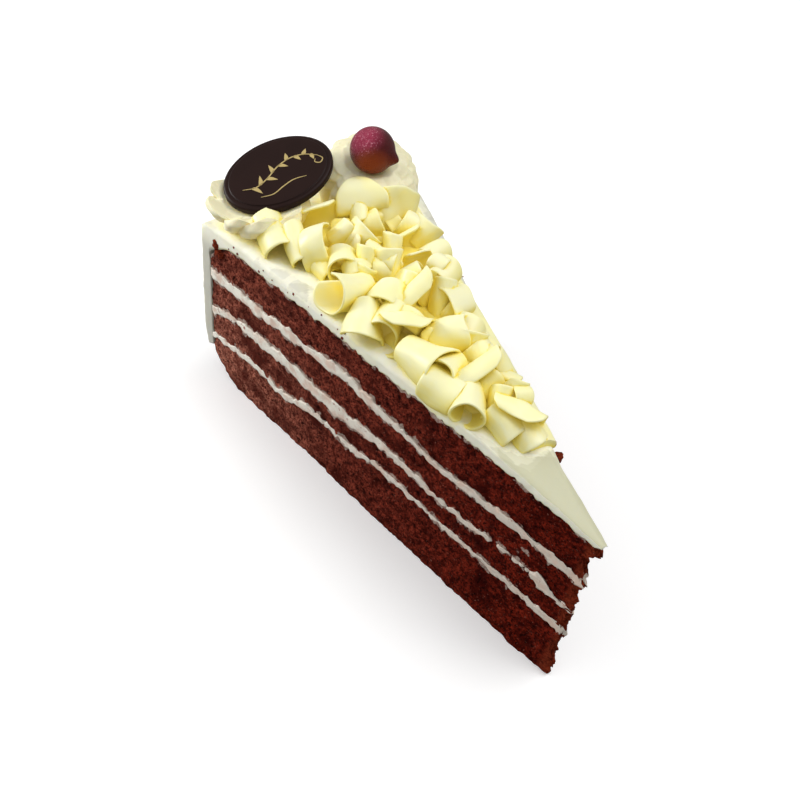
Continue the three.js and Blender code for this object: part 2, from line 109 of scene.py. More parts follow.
# Directions in the camera's picture: to its right, up in it, and out of it towards the viewer.
PICTURE_RIGHT = Vector((0.51, 0.85, 0.13))
PICTURE_UP = Vector((-0.66, 0.28, 0.70))
PICTURE_NEAR = Vector((0.56, -0.44, 0.70))


def add_camera():
    """A camera that looks along its azimuth, down on the slice, and leans over by its roll."""
    flat = math.cos(CAMERA_DOWN)
    ahead = Vector((math.sin(CAMERA_AZIMUTH) * flat, math.cos(CAMERA_AZIMUTH) * flat, 0))
    ahead.z = -math.sin(CAMERA_DOWN)
    level = ahead.cross(Vector((0, 0, 1))).normalized()
    upright = level.cross(ahead)
    right = math.cos(CAMERA_ROLL) * level + math.sin(CAMERA_ROLL) * upright
    above = math.cos(CAMERA_ROLL) * upright - math.sin(CAMERA_ROLL) * level
    camera = bpy.data.objects.new("camera", bpy.data.cameras.new("camera"))
    camera.data.sensor_width = SENSOR_WIDTH
    camera.data.lens = CAMERA_LENS
    camera.data.clip_start = 0.001
    turn = Matrix((right, above, -ahead)).transposed().to_4x4()
    camera.matrix_world = Matrix.Translation(Vector(CAMERA_PLACE) * MM) @ turn
    bpy.context.scene.collection.objects.link(camera)
    bpy.context.scene.camera = camera


# ---- light and floor ------------------------------------------------------------------------

WORLD_LIGHT = 0.51
# Square lamps: name, place and size in metres, power in watts.
LAMPS = (
    ("key", (0.14, 0.36, 0.94), 0.7, 5.2),
    ("front", (-0.15, -0.45, 0.50), 0.5, 0.35),
    ("fill", (-0.25, -0.22, 0.15), 0.12, 0.62),
)
LAMPS_AIM = Vector((0, 0, 0.02))
FLOOR_SIZE = 6.0
FLOOR_SEEN = 0.93                 # how pale the floor is in the picture
FLOOR_BOUNCE = 0.30               # how much of its light the floor gives back to the slice
FLOOR_GLOW = 0.17                 # keeps the lit floor white in the picture


def add_light(name, place, size, power):
    """A square lamp that faces the slice."""
    lamp = bpy.data.lights.new(name, "AREA")
    lamp.size = size
    lamp.energy = power
    holder = bpy.data.objects.new(name, lamp)
    holder.location = place
    holder.rotation_euler = (LAMPS_AIM - Vector(place)).to_track_quat("-Z", "Y").to_euler()
    bpy.context.scene.collection.objects.link(holder)


def add_world():
    world = bpy.data.worlds.new("studio")
    world.use_nodes = True
    background = world.node_tree.nodes["Background"]
    background.inputs["Color"].default_value = (1, 1, 1, 1)
    background.inputs["Strength"].default_value = WORLD_LIGHT
    bpy.context.scene.world = world


def add_floor():
    half = FLOOR_SIZE / 2
    mesh = bpy.data.meshes.new("floor")
    corners = [(-half, -half, 0), (half, -half, 0), (half, half, 0), (-half, half, 0)]
    mesh.from_pydata(corners, [], [(0, 1, 2, 3)])
    floor = bpy.data.objects.new("floor", mesh)
    bpy.context.scene.collection.objects.link(floor)
    material, tree, surface = new_material("white_table")
    seen = tree.nodes.new("ShaderNodeLightPath").outputs["Is Camera Ray"]
    colour = mix_colours(tree, seen, (FLOOR_BOUNCE,) * 3 + (1,), (FLOOR_SEEN,) * 3 + (1,))
    finish_surface(tree, surface, colour, Roughness=0.9, Specular_IOR_Level=0.1, Emission_Strength=FLOOR_GLOW)
    tree.links.new(mix_colours(tree, seen, (0, 0, 0, 1), (1, 1, 1, 1)), surface.inputs["Emission Color"])
    mesh.materials.append(material)
    floor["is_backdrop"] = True


# ---- numbers and noise ----------------------------------------------------------------------


def smoothstep(value, low, high):
    share = np.clip((value - low) / (high - low), 0, 1)
    return share * share * (3 - 2 * share)


def through(pairs, value):
    """A value that runs smoothly through a short list of (position, value) pairs."""
    value = np.asarray(value, float)
    result = np.full(value.shape, float(pairs[0][1]))
    for (low, before), (high, after) in zip(pairs, pairs[1:]):
        result += (after - before) * smoothstep(value, low, high)
    return result


def hashed(cells, seed):
    """A number from 0 to 1 for each whole-numbered cell, fixed by the seed."""
    cells = cells.astype(np.int64)
    mixed = cells[..., 0] * 73856093 ^ cells[..., 1] * 19349663 ^ cells[..., 2] * 83492791
    mixed ^= seed * 2654435761
    mixed = (mixed ^ (mixed >> 13)) * 1274126177 & 0xFFFFFFFF
    mixed = (mixed ^ (mixed >> 16)) * 668265263 & 0xFFFFFFFF
    return (mixed & 0xFFFFFF) / float(0xFFFFFF)


def draws(rows, columns, seed):
    """A table of numbers from 0 to 1, the same at every run."""
    steps = np.arange(rows * columns)
    return hashed(np.stack([steps, steps, steps], axis=1), seed).reshape(rows, columns)


def noise(points, size, seed):
    """Smooth unevenness between -1 and 1 whose lumps are about size across."""
    at = points / size
    cell = np.floor(at)
    part = at - cell
    part = part * part * (3 - 2 * part)
    total = np.zeros(len(points))
    for corner in np.ndindex(2, 2, 2):
        weight = np.prod(np.where(np.array(corner) == 1, part, 1 - part), axis=1)
        total += weight * hashed(cell + corner, seed)
    return 2 * total - 1


def pores(points, size, seed, smallest, largest):
    """How deep each point lies in the nearest round pore, from 0 outside it to 1 in its middle."""
    at = points / size
    cell = np.floor(at)
    depth = np.zeros(len(points))
    for corner in np.ndindex(3, 3, 3):
        here = cell + corner - 1
        middle = here + np.stack([hashed(here, seed + step) for step in range(3)], axis=1)
        radius = smallest + (largest - smallest) * hashed(here, seed + 3) ** 2
        distance = np.linalg.norm(at - middle, axis=1) * size
        depth = np.maximum(depth, np.clip(1 - distance / radius, 0, 1))
    return depth


# ---- meshes ---------------------------------------------------------------------------------


def add_mesh(name, points, faces, material, sharp=None):
    """A smooth mesh from points in millimetres, with its edges sharp beyond that many degrees."""
    mesh = bpy.data.meshes.new(name)
    mesh.from_pydata(np.asarray(points) * MM, [], faces if isinstance(faces, list) else faces.tolist())
    mesh.polygons.foreach_set("use_smooth", np.ones(len(mesh.polygons), bool))
    mesh.materials.append(material)
    if sharp:
        mesh.set_sharp_from_angle(angle=math.radians(sharp))
    piece = bpy.data.objects.new(name, mesh)
    bpy.context.scene.collection.objects.link(piece)
    return piece


def block(steps, place):
    """The closed skin of a block of cells: place turns arrays of three shares into points."""
    grid = -np.ones([count + 1 for count in steps], int)
    for axis in range(3):
        for end in (0, -1):
            np.moveaxis(grid, axis, 0)[end] = 0
    skin = np.argwhere(grid == 0)
    grid[tuple(skin.T)] = np.arange(len(skin))
    points = place(*(skin / np.array(steps)).T)
    faces = []
    for axis in range(3):
        for end in (0, -1):
            side = np.moveaxis(grid, axis, 0)[end]
            if axis == 1:
                side = side.T
            corners = side[:-1, :-1], side[1:, :-1], side[1:, 1:], side[:-1, 1:]
            squares = np.stack(corners, axis=-1).reshape(-1, 4)
            faces.append(squares if end == -1 else squares[:, ::-1])
    faces = np.concatenate(faces)
    corner = points[faces]
    volume = np.einsum("ij,ij->i", corner[:, 0], np.cross(corner[:, 1], corner[:, 2])).sum()
    volume += np.einsum("ij,ij->i", corner[:, 0], np.cross(corner[:, 2], corner[:, 3])).sum()
    return points, faces if volume > 0 else faces[:, ::-1]


def joined(parts):
    """Several pairs of points and faces as one."""
    counts = np.cumsum([0] + [len(points) for points, faces in parts])
    points = np.concatenate([points for points, faces in parts])
    return points, np.concatenate([faces + count for (_, faces), count in zip(parts, counts)])


def in_slice(radius, across, height):
    """Points from the distance to the cake's centre, the place across the slice and the height."""
    angle = HALF_ANGLE * across
    return np.stack([APEX_X - radius * np.cos(angle), radius * np.sin(angle), height + 0 * radius], axis=1)


# ---- materials ------------------------------------------------------------------------------

# Colours are linear red, green and blue. The sponge's reds, with painted light: darkest near the
# point, paler towards the rim, and palest low down at the rim as painted floor bounce light.
SPONGE_DARK = (0.060, 0.0035, 0.002, 1), (0.10, 0.016, 0.010, 1), (0.19, 0.038, 0.024, 1)
SPONGE_LIGHT = (0.36, 0.032, 0.013, 1), (0.60, 0.155, 0.095, 1), (0.95, 0.36, 0.24, 1)
SPONGE_SPECK = (0.52, 0.20, 0.14, 1)
# The painted shade in the sponge's pores.
SPONGE_PORE_SHADE = (0.020, 0.002, 0.002, 1)
TORN_REDS = (0.20, 0.018, 0.006, 1), (0.42, 0.075, 0.030, 1)
SMEARED_CREAM = (0.52, 0.26, 0.21, 1), (0.74, 0.66, 0.56, 1)

# The filling's cream near the point and near the rim: painted light, paler towards the rim.
FILLING_TINTS = (0.80, 0.72, 0.62, 1), (1.0, 0.96, 0.84, 1)     # near the point, near the rim
FILLING_PINK = (0.82, 0.64, 0.52, 1)
FILLING_CRUMB = (0.40, 0.13, 0.09, 1)

# Frosting and piped cream: at the rim, at the point, then painted light in half shade and in a hollow.
COAT_TINTS = (0.60, 0.59, 0.50, 1), (0.585, 0.575, 0.395, 1), (0.97, 0.96, 0.78, 1), (1.0, 0.93, 0.46, 1)
PIPED_TINTS = (0.79, 0.74, 0.48, 1), (0.79, 0.74, 0.48, 1), (0.95, 0.90, 0.63, 1), (0.98, 0.85, 0.44, 1)
COAT_ROUGHNESS = 0.5
PIPED_ROUGHNESS = 0.48
CREAM_UNDER_SKIN = dict(Subsurface_Weight=0.25, Subsurface_Radius=(1.0, 0.8, 0.5), Subsurface_Scale=0.0012)
SHADE_SKY = 0.85, 0.50            # the shares of the sky between which the half shade sets in
HOLLOW_SKY = 0.50, 0.15
TINTED_HEIGHT = 0.040, 0.048      # metres; below the first of these the coat keeps its plain tint

CURL_TINTS = (0.96, 0.93, 0.58, 1), (0.98, 0.93, 0.46, 1)
# Painted golden light in the curls' folds and hollows, where they see little sky.
CURL_HOLLOW_PAINTED_LIGHT = (1.0, 0.84, 0.17, 1)
CURL_SKY = 0.80, 0.20
CURL_UNDER_SKIN = dict(Subsurface_Weight=0.15, Subsurface_Radius=(1.0, 0.85, 0.4), Subsurface_Scale=0.0015)

CHOCOLATE = (0.012, 0.0045, 0.0035, 1), (0.020, 0.008, 0.006, 1)
BALL_RED = (0.080, 0.003, 0.004, 1)
BALL_PAINTED_SHEEN = (0.33, 0.028, 0.070, 1)
BALL_UNDERSIDE = (0.30, 0.045, 0.006, 1)
BALL_PAINTED_GLINT = (0.85, 0.36, 0.45, 1)
GOLD = (0.50, 0.36, 0.12, 1), (0.68, 0.54, 0.24, 1)


def new_material(name):
    material = bpy.data.materials.new(name)
    material.use_nodes = True
    return material, material.node_tree, material.node_tree.nodes["Principled BSDF"]


def new_group(name, inputs, outputs):
    """A node group, the sockets that bring its inputs and those that take its outputs."""
    group = bpy.data.node_groups.new(name, "ShaderNodeTree")
    for direction, sockets in (("INPUT", inputs), ("OUTPUT", outputs)):
        for socket, kind in sockets:
            group.interface.new_socket(socket, in_out=direction, socket_type="NodeSocket" + kind)
    return group, group.nodes.new("NodeGroupInput").outputs, group.nodes.new("NodeGroupOutput").inputs


def add_node(tree, kind, settings=None, **values):
    """A node with its settings and its inputs' values or links, by name or as i and a number."""
    node = tree.nodes.new(kind)
    for key, value in (settings or {}).items():
        setattr(node, key, value)
    for key, value in values.items():
        numbered = key[0] == "i" and key[1:].isdigit()
        socket = node.inputs[int(key[1:]) if numbered else key.replace("_", " ")]
        if isinstance(value, bpy.types.NodeSocket):
            tree.links.new(value, socket)
        else:
            socket.default_value = value
    return node


def mix_colours(tree, share, first, second):
    mixer = add_node(tree, "ShaderNodeMix", {"data_type": "RGBA"}, i0=share, i6=first, i7=second)
    return mixer.outputs[2]


def spread(tree, value, low, high):
    """Stretches the values between low and high to run from 0 to 1."""
    settings = {"interpolation_type": "SMOOTHSTEP"}
    return add_node(tree, "ShaderNodeMapRange", settings, Value=value, i1=low, i2=high).outputs[0]


def combine(tree, operation, *inputs):
    values = {"i" + str(index): value for index, value in enumerate(inputs)}
    return add_node(tree, "ShaderNodeMath", {"operation": operation}, **values).outputs[0]


def cloud(tree, place, scale, detail, roughness=0.5):
    """Soft noise with its lumps one over scale metres apart."""
    values = {"Vector": place, "Scale": scale, "Detail": detail, "Roughness": roughness}
    return add_node(tree, "ShaderNodeTexNoise", **values).outputs[0]


def from_mesh(tree, name):
    """A value that the mesh carries at its points."""
    return add_node(tree, "ShaderNodeAttribute", {"attribute_name": name}).outputs["Fac"]


def place_in_slice(tree):
    return tree.nodes.new("ShaderNodeTexCoord").outputs["Object"]


def parts_of(tree, place):
    """The place along, across and above the slice, in metres."""
    return add_node(tree, "ShaderNodeSeparateXYZ", Vector=place).outputs


def finish_surface(tree, surface, colour, bump=None, **values):
    """Links the colour and a bump of (height, strength, distance), and sets the other values."""
    tree.links.new(colour, surface.inputs["Base Color"])
    for key, value in values.items():
        surface.inputs[key.replace("_", " ")].default_value = value
    if bump:
        height, strength, distance = bump
        node = add_node(tree, "ShaderNodeBump", Strength=strength, Distance=distance, Height=height)
        tree.links.new(node.outputs[0], surface.inputs["Normal"])


def crumb_group():
    """Cut crumb: a grain from 0 to 1, a mask of open pores for their painted shade and a height for a bump.
    """
    results = [(name, "Float") for name in ("Grain", "Pore Shade", "Height")]
    group, given, out = new_group("crumb", [("Vector", "Vector")], results)
    grain = cloud(group, given["Vector"], 1900.0, 4.0, 0.8)
    open_crumb = cloud(group, given["Vector"], 950.0, 4.0, 0.85)
    pore = spread(group, open_crumb, 0.45, 0.34)
    group.links.new(spread(group, grain, 0.3, 0.7), out["Grain"])
    group.links.new(pore, out["Pore Shade"])
    group.links.new(combine(group, "SUBTRACT", grain, pore), out["Height"])
    return group


def sky_group():
    """Painted shade and bounce light: goes over from an open to a hidden tint as the share of the sky falls
    from start to end.
    """
    numbers = [(name, "Float") for name in ("Sky", "Start", "End", "Share")]
    colours = [("Open", "Color"), ("Hidden", "Color")]
    group, given, out = new_group("painted_shade_tint", numbers + colours, [("Tint", "Color")])
    hidden = spread(group, given["Sky"], given["Start"], given["End"])
    share = combine(group, "MULTIPLY", hidden, given["Share"])
    group.links.new(mix_colours(group, share, given["Open"], given["Hidden"]), out["Tint"])
    return group


def tinted(tree, group, between, share, open_tint, hidden_tint):
    values = {"Sky": from_mesh(tree, "sky"), "Start": between[0], "End": between[1], "Share": share}
    values.update({"Open": open_tint, "Hidden": hidden_tint})
    return add_node(tree, "ShaderNodeGroup", {"node_tree": group}, **values).outputs["Tint"]


def sponge_material(crumb):
    """Red sponge: painted shade in its pores, lumps in two reds, and painted light, paler and duller towards
    the rim.
    """
    material, tree, surface = new_material("red_sponge")
    place = place_in_slice(tree)
    cut = add_node(tree, "ShaderNodeGroup", {"node_tree": crumb}, Vector=place).outputs
    part = parts_of(tree, place)
    # Painted light: the reds pale towards the rim, and painted floor bounce light low down at the rim.
    painted_light_to_rim = spread(tree, part[0], 0.055, -0.060)
    low = spread(tree, part[2], 0.045, 0.004)
    painted_bounce_low_at_rim = combine(tree, "MULTIPLY", spread(tree, part[0], 0.0, -0.060), low)
    dark, light = (
        mix_colours(tree, painted_bounce_low_at_rim, mix_colours(tree, painted_light_to_rim, reds[0], reds[1]), reds[2])
        for reds in (SPONGE_DARK, SPONGE_LIGHT)
    )
    light = mix_colours(tree, spread(tree, cloud(tree, place, 130.0, 2.0), 0.50, 0.28), light, dark)
    lumps = cloud(tree, place, 560.0, 6.0, 0.8)
    colour = mix_colours(tree, spread(tree, lumps, 0.38, 0.60), dark, light)
    colour = mix_colours(tree, spread(tree, cut["Grain"], 0.75, 0.05), colour, dark)
    specks = cloud(tree, place, 1700.0, 3.0, 0.7)
    colour = mix_colours(tree, spread(tree, specks, 0.60, 0.76), colour, SPONGE_SPECK)
    # Painted shade: darker in the open pores and in a band under the coat's edge.
    deep = combine(tree, "MAXIMUM", from_mesh(tree, "pore_and_coat_shade"), cut["Pore Shade"])
    colour = mix_colours(tree, deep, colour, SPONGE_PORE_SHADE)
    torn = mix_colours(tree, cut["Grain"], *TORN_REDS)
    colour = mix_colours(tree, from_mesh(tree, "torn"), colour, torn)
    smear = combine(tree, "MULTIPLY_ADD", specks, 0.8, from_mesh(tree, "smear"))
    smeared = mix_colours(tree, cut["Grain"], *SMEARED_CREAM)
    colour = mix_colours(tree, spread(tree, smear, 0.60, 0.80), colour, smeared)
    bump = (cut["Height"], 1.0, 0.0011)
    finish_surface(tree, surface, colour, bump, Roughness=0.9, Specular_IOR_Level=0.03)
    return material


def filling_material(crumb):
    """The cut filling: pale cream with pink smears and red crumbs dragged into it."""
    material, tree, surface = new_material("filling_cream")
    place = place_in_slice(tree)
    cut = add_node(tree, "ShaderNodeGroup", {"node_tree": crumb}, Vector=place).outputs
    # Painted light: the cream pales towards the rim.
    smooth = mix_colours(tree, spread(tree, parts_of(tree, place)[0], 0.05, -0.05), *FILLING_TINTS)
    smears = spread(tree, cloud(tree, place, 260.0, 4.0, 0.65), 0.35, 0.55)
    colour = mix_colours(tree, smears, FILLING_PINK, smooth)
    dragged = spread(tree, cloud(tree, place, 520.0, 4.0, 0.7), 0.60, 0.72)
    colour = mix_colours(tree, dragged, colour, FILLING_CRUMB)
    bump = (cut["Height"], 0.5, 0.0004)
    finish_surface(tree, surface, colour, bump, Roughness=0.6, Specular_IOR_Level=0.3)
    return material


def cream_material(name, tints, roughness, painted_shade_tint):
    """Cream cheese frosting: its tints, painted light where it sees little sky, a soft shine and a little
    light under its skin.
    """
    at_rim, at_tip, shade, hollow = tints
    material, tree, surface = new_material(name)
    place = place_in_slice(tree)
    part = parts_of(tree, place)
    level = combine(tree, "MULTIPLY_ADD", part[0], 6.0, cloud(tree, place, 60.0, 4.0))
    colour = mix_colours(tree, spread(tree, level, 0.2, 0.8), at_rim, at_tip)
    # Painted light: whiter in half shade and golden in hollows, where the mesh sees little of the sky.
    high = spread(tree, part[2], *TINTED_HEIGHT)
    colour = tinted(tree, painted_shade_tint, SHADE_SKY, high, colour, shade)
    colour = tinted(tree, painted_shade_tint, HOLLOW_SKY, high, colour, hollow)
    bump = (cloud(tree, place, 900.0, 4.0), 0.25, 0.0004)
    finish_surface(tree, surface, colour, bump, Roughness=roughness, **CREAM_UNDER_SKIN)
    return material


def curl_material(painted_shade_tint):
    """White chocolate: pale where it lies open to the sky, with painted golden light in its folds and
    hollows.
    """
    material, tree, surface = new_material("white_chocolate")
    uneven = spread(tree, cloud(tree, place_in_slice(tree), 90.0, 3.0), 0.3, 0.7)
    colour = tinted(tree, painted_shade_tint, CURL_SKY, 1.0, mix_colours(tree, uneven, *CURL_TINTS), CURL_HOLLOW_PAINTED_LIGHT)
    finish_surface(tree, surface, colour, Roughness=0.38, **CURL_UNDER_SKIN)
    return material


def plaque_material():
    material, tree, surface = new_material("dark_chocolate")
    colour = mix_colours(tree, cloud(tree, place_in_slice(tree), 140.0, 4.0), *CHOCOLATE)
    finish_surface(tree, surface, colour, Roughness=0.40, Specular_IOR_Level=0.12)
    return material


def ball_material():
    """A sprayed chocolate ball: dark red, with a painted magenta sheen and glints, and orange brown
    underneath.
    """
    material, tree, surface = new_material("burgundy_pearl")
    grain = cloud(tree, place_in_slice(tree), 2300.0, 4.0, 0.7)
    sheen = from_mesh(tree, "sheen")
    colour = mix_colours(tree, sheen, BALL_RED, BALL_PAINTED_SHEEN)
    colour = mix_colours(tree, from_mesh(tree, "under"), colour, BALL_UNDERSIDE)
    # Painted glints in the grain, where the painted sheen is.
    painted_glints = combine(tree, "MULTIPLY", spread(tree, grain, 0.54, 0.70), sheen)
    colour = mix_colours(tree, painted_glints, colour, BALL_PAINTED_GLINT)
    bump = (grain, 1.0, 0.0005)
    finish_surface(tree, surface, colour, bump, Metallic=0.3, Roughness=0.27, Specular_IOR_Level=0.25)
    return material


def gold_material():
    material, tree, surface = new_material("gold_print")
    colour = mix_colours(tree, cloud(tree, place_in_slice(tree), 1500.0, 2.0), *GOLD)
    finish_surface(tree, surface, colour, Metallic=0.5, Roughness=0.4)
    return material


# ---- sponges and fillings -------------------------------------------------------------------

LAYER_CELLS = 364                 # along a cut face, of about a third of a millimetre each
ACROSS_CELLS = 14
# Each sponge and filling from the table up: its solid and the cells over its height.
SPONGE_ROWS = (("sponge_bottom", 50), ("sponge_lower", 26), ("sponge_upper", 30), ("sponge_top", 38))
FILLING_ROWS = (("filling_lower", 8), ("filling_middle", 8), ("filling_upper", 8))
FILLING_OVERLAP = 0.12            # how far a filling reaches into the sponges
FILLING_DRIFT = 0.5
SPONGE_DROOP = 1.6                # how far the top sponge sinks towards the point
SPONGE_SHOULDER = 6.5             # how far it falls towards the rim
FOOT_BULGE = 1.0                  # how far the slice settles outwards near its foot
FAR_EDGE_SET_IN = 1.8             # how far the far edge of the top lies inside the cut plane


def filling_height(keys, radius, across):
    """The middle of a filling: it drifts away from the near face's course towards the far one."""
    return through(keys, radius) + FILLING_DRIFT * (across + 1) * np.sin(radius / 17 + keys[0][1])


def sponge_top(radius, across):
    """Height of the top sponge, ragged along the cut faces."""
    droop = np.clip(1 - radius / 40, 0, None)
    shoulder = np.clip((radius - FLAT_END) / (SPONGE_RADIUS - FLAT_END), 0, None)
    spots = np.stack([radius, 9 * across, 0 * radius], axis=1)
    ragged = 0.42 * noise(spots, 2.4, 31) + 0.38 * noise(spots, 1.0, 32)
    ragged *= smoothstep(np.abs(across), 0.9, 1) * (1 - smoothstep(radius, FLAT_END - 8, FLAT_END))
    return SPONGE_TOP - SPONGE_DROOP * droop**2 - SPONGE_SHOULDER * shoulder**2.4 + ragged


def sponge_radius(height):
    """Where the sponges end at the rim: the bottom one is rounded in towards the table."""
    return SPONGE_RADIUS - BOTTOM_BEVEL * np.clip(1 - height / COAT_BOTTOM, 0, None) ** 1.6


def filling_edge(keys, thickness, side, seed):
    """The upper (side 0.5) or lower (-0.5) surface of a filling, uneven as it was spread."""

    def surface(radius, across):
        spots = np.stack([radius, 25 * across, 0 * radius + 7 * side], axis=1)
        spread_out = 1 + 0.38 * noise(spots, 8, seed) + 0.35 * noise(spots, 2.9, seed + 1)
        spikes = noise(spots, 0.95, seed + 3)
        ragged = 0.50 * noise(spots, 1.9, seed + 2) + 1.35 * spikes * np.abs(spikes)
        away = 0.5 * through(thickness, radius) * spread_out + ragged
        return filling_height(keys, radius, across) + 2 * side * np.maximum(away, 0.03)

    return surface


FILLINGS = ((FILLING_1, THICKNESS_1), (FILLING_2, THICKNESS_2), (FILLING_3, THICKNESS_3))
SURFACES = [lambda radius, across: 0 * radius]
for index, (keys, thickness) in enumerate(FILLINGS):
    SURFACES.append(filling_edge(keys, thickness, -0.5, 11 + 10 * index))
    SURFACES.append(filling_edge(keys, thickness, 0.5, 15 + 10 * index))
SURFACES.append(sponge_top)

# The torn tip: (height, distance from the cake's centre).
TORN_TIP = ((1.4, 0.6), (5.2, 1.8), (12.3, 2.2), (15.4, 1.9), (20.4, 2.8), (24.3, 2.6), (27.2, 2.8),
            (28, 3.8), (30.4, 4.2), (33.1, 2.6), (34.3, 4.0), (38.2, 4.9), (40.6, 5.9), (41.6, 4.1),
            (43.3, 2.9), (46, 4.5))


def tip_reach(height, across):
    """How far from the cake's centre the torn tip starts."""
    spots = np.stack([height, 3 * across, 0 * height], axis=1)
    return 0.6 + through(TORN_TIP, height) + 0.7 * noise(spots, 1.6, 90) + 0.35 * noise(spots, 0.7, 91)


def far_edge(radius, across):
    """How far the top of the far cut face lies inside its plane, near the tip."""
    near_tip = smoothstep(radius, 2, 24) * (1 - smoothstep(radius, 60, 110))
    return FAR_EDGE_SET_IN * smoothstep(across, 0, 1) * near_tip


def layer(below, above, tip, rise, grow, unevenness):
    """One layer between two surfaces: its cut faces get the unevenness, in millimetres."""

    def place(along, across_share, up):
        # The cells across the slice crowd towards the two cut faces.
        across = np.sin((across_share - 0.5) * math.pi)
        guess = tip + (SPONGE_RADIUS - tip) * along
        low = SURFACES[below](guess, across) - (grow if below else 0)
        high = SURFACES[above](guess, across) + grow
        height = low + (high - low) * up
        start = tip_reach(height, across)
        radius = start + (sponge_radius(height) - start) * along
        points = in_slice(radius, across, height)
        outwards = np.sign(across) * smoothstep(np.abs(across), 0.9, 1)
        foot = (1 - smoothstep(radius, 60, 100)) * (1 - smoothstep(height, 0, 14))
        points[:, 1] -= far_edge(radius, across) * smoothstep(height, 25, 44)
        pinched = 0.9 * (1 - smoothstep(high - low, 0.35, 0.7))
        points[:, 1] += outwards * (unevenness(points) + FOOT_BULGE * foot - pinched)
        return points

    return block((LAYER_CELLS, ACROSS_CELLS, rise), place)


def crumb_relief(points):
    """The cut crumb: gentle waves, lumps, fine crumbs and open pores."""
    relief = 0.26 * noise(points, 9, 41) + 0.24 * noise(points, 3.2, 42) + 0.20 * noise(points, 1.2, 43)
    return relief + 0.10 * noise(points, 0.7, 46) - 0.6 * pit_depth(points) - 0.25


def pit_depth(points):
    """How deep a point lies in an open pore, from 0 to 1; the pores' edges are bent."""
    bent = points + np.stack([noise(points, 1.2, seed) for seed in (47, 48, 49)], axis=1) * 0.5
    return np.clip(1.6 * pores(bent, 4.2, 51, 0.2, 1.2) + 0.6 * pores(bent, 1.7, 61, 0.1, 0.5), 0, 1)


def cream_smear(points, radius, across, below, above):
    """Where cream was dragged over the cut crumb: beside each filling, and one patch near the tip."""
    height = points[:, 2]
    smear = np.zeros(len(points))
    for index in (below, above):
        if index:
            beside = np.abs(SURFACES[index](radius, across) - height)
            smear = np.maximum(smear, np.clip(1 - beside / SMEAR_REACH, 0, 1))
    smear *= 0.50 + 0.9 * noise(points, 1.9, 56)
    away = np.hypot((radius - PATCH_PLACE[0]) / PATCH_SIZE[0], (height - PATCH_PLACE[1]) / PATCH_SIZE[1])
    patch = np.clip(1.3 - away + 0.5 * noise(points, 1.0, 57), 0, 1) * (across < 0)
    return np.clip(np.maximum(smear, patch), 0, 1) * smoothstep(np.abs(across), 0.9, 1)


def cream_relief(points):
    """The cut cream: two sizes of gentle unevenness, a little proud of the crumb."""
    return 0.15 * noise(points, 5, 44) + 0.12 * noise(points, 1.6, 45) + 0.05


def set_value(piece, name, values):
    """Gives each point of a piece a number that its material reads."""
    attribute = piece.data.attributes.new(name, "FLOAT", "POINT")
    attribute.data.foreach_set("value", np.asarray(values, np.float32))


SKY_STEPS = ((25, 4), (55, 6), (78, 4))        # degrees from straight up, directions round that
SKY_LIFT = 0.25                   # a look at the sky starts this far above the skin
SKY_REACH = 30                    # and what is further off than this hides nothing


def points_and_normals(piece):
    mesh = piece.data
    points = np.empty(3 * len(mesh.vertices))
    mesh.vertices.foreach_get("co", points)
    normals = np.empty(3 * len(mesh.vertices))
    mesh.vertex_normals.foreach_get("vector", normals)
    return points.reshape(-1, 3), normals.reshape(-1, 3)


def share_sky(*pieces):
    """Gives each point of the pieces the share of the sky that it sees past all of them."""
    skins = [points_and_normals(piece) for piece in pieces]
    corners, faces = [], []
    for piece, (points, normals) in zip(pieces, skins):
        faces += [[vertex + len(corners) for vertex in polygon.vertices] for polygon in piece.data.polygons]
        corners += points.tolist()
    tree = BVHTree.FromPolygons(corners, faces)
    for piece, (points, normals) in zip(pieces, skins):
        starts = points + SKY_LIFT * MM * normals
        seen, total = np.zeros(len(points)), 0
        for away, count in SKY_STEPS:
            flat, rise = math.sin(math.radians(away)), math.cos(math.radians(away))
            for step in range(count):
                turn = 2 * math.pi * (step + away / 60) / count
                direction = (flat * math.cos(turn), flat * math.sin(turn), rise)
                total += 1
                for index in np.flatnonzero(normals @ np.array(direction) > 0.05):
                    if tree.ray_cast(starts[index], direction, SKY_REACH * MM)[0] is None:
                        seen[index] += 1
        set_value(piece, "sky", seen / total)


def dress(piece, slot, *nodes):
    """Puts a piece on the slice's body and in place of its solids; its slot is not used."""
    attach(piece, "root")
    if nodes:
        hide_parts(*nodes)
    return piece


# Loose crumbs: (distance from the cake's centre, across, height, radius).
EDGE_CRUMBS = ((25.2, 0.93, 47.5, 1.1), (28.4, 0.93, 47.8, 0.8), (29.4, 0.92, 48.0, 0.9),
               (30.4, 0.92, 48.2, 0.8), (124.3, -1.0, 45.4, 0.9), (123.9, -1.0, 44.3, 1.1),
               (123.2, -1.0, 43.2, 1.2), (122.0, -1.0, 42.6, 1.0))
CRUMB_COUNT = 18
CRUMBS_FROM, CRUMBS_OVER = 68, 56
CRUMB_SMALLEST, CRUMB_SPREAD = 0.18, 0.26
CRUMB_SEED = 5
TORN_SHARE = 0.8                  # how much of the torn tint the crumbs and the tip get


def crumb_lump(x, y, z, radius, seed):
    """A small rough lump of sponge."""

    def place(a, b, c):
        cube = np.stack([a, b, c], axis=1) - 0.5
        ball = cube / np.linalg.norm(cube, axis=1)[:, None]
        return radius * ball * (1 + 0.35 * noise(ball * 4 + seed, 1.6, seed))[:, None] + (x, y, z)

    return block((5, 5, 5), place)


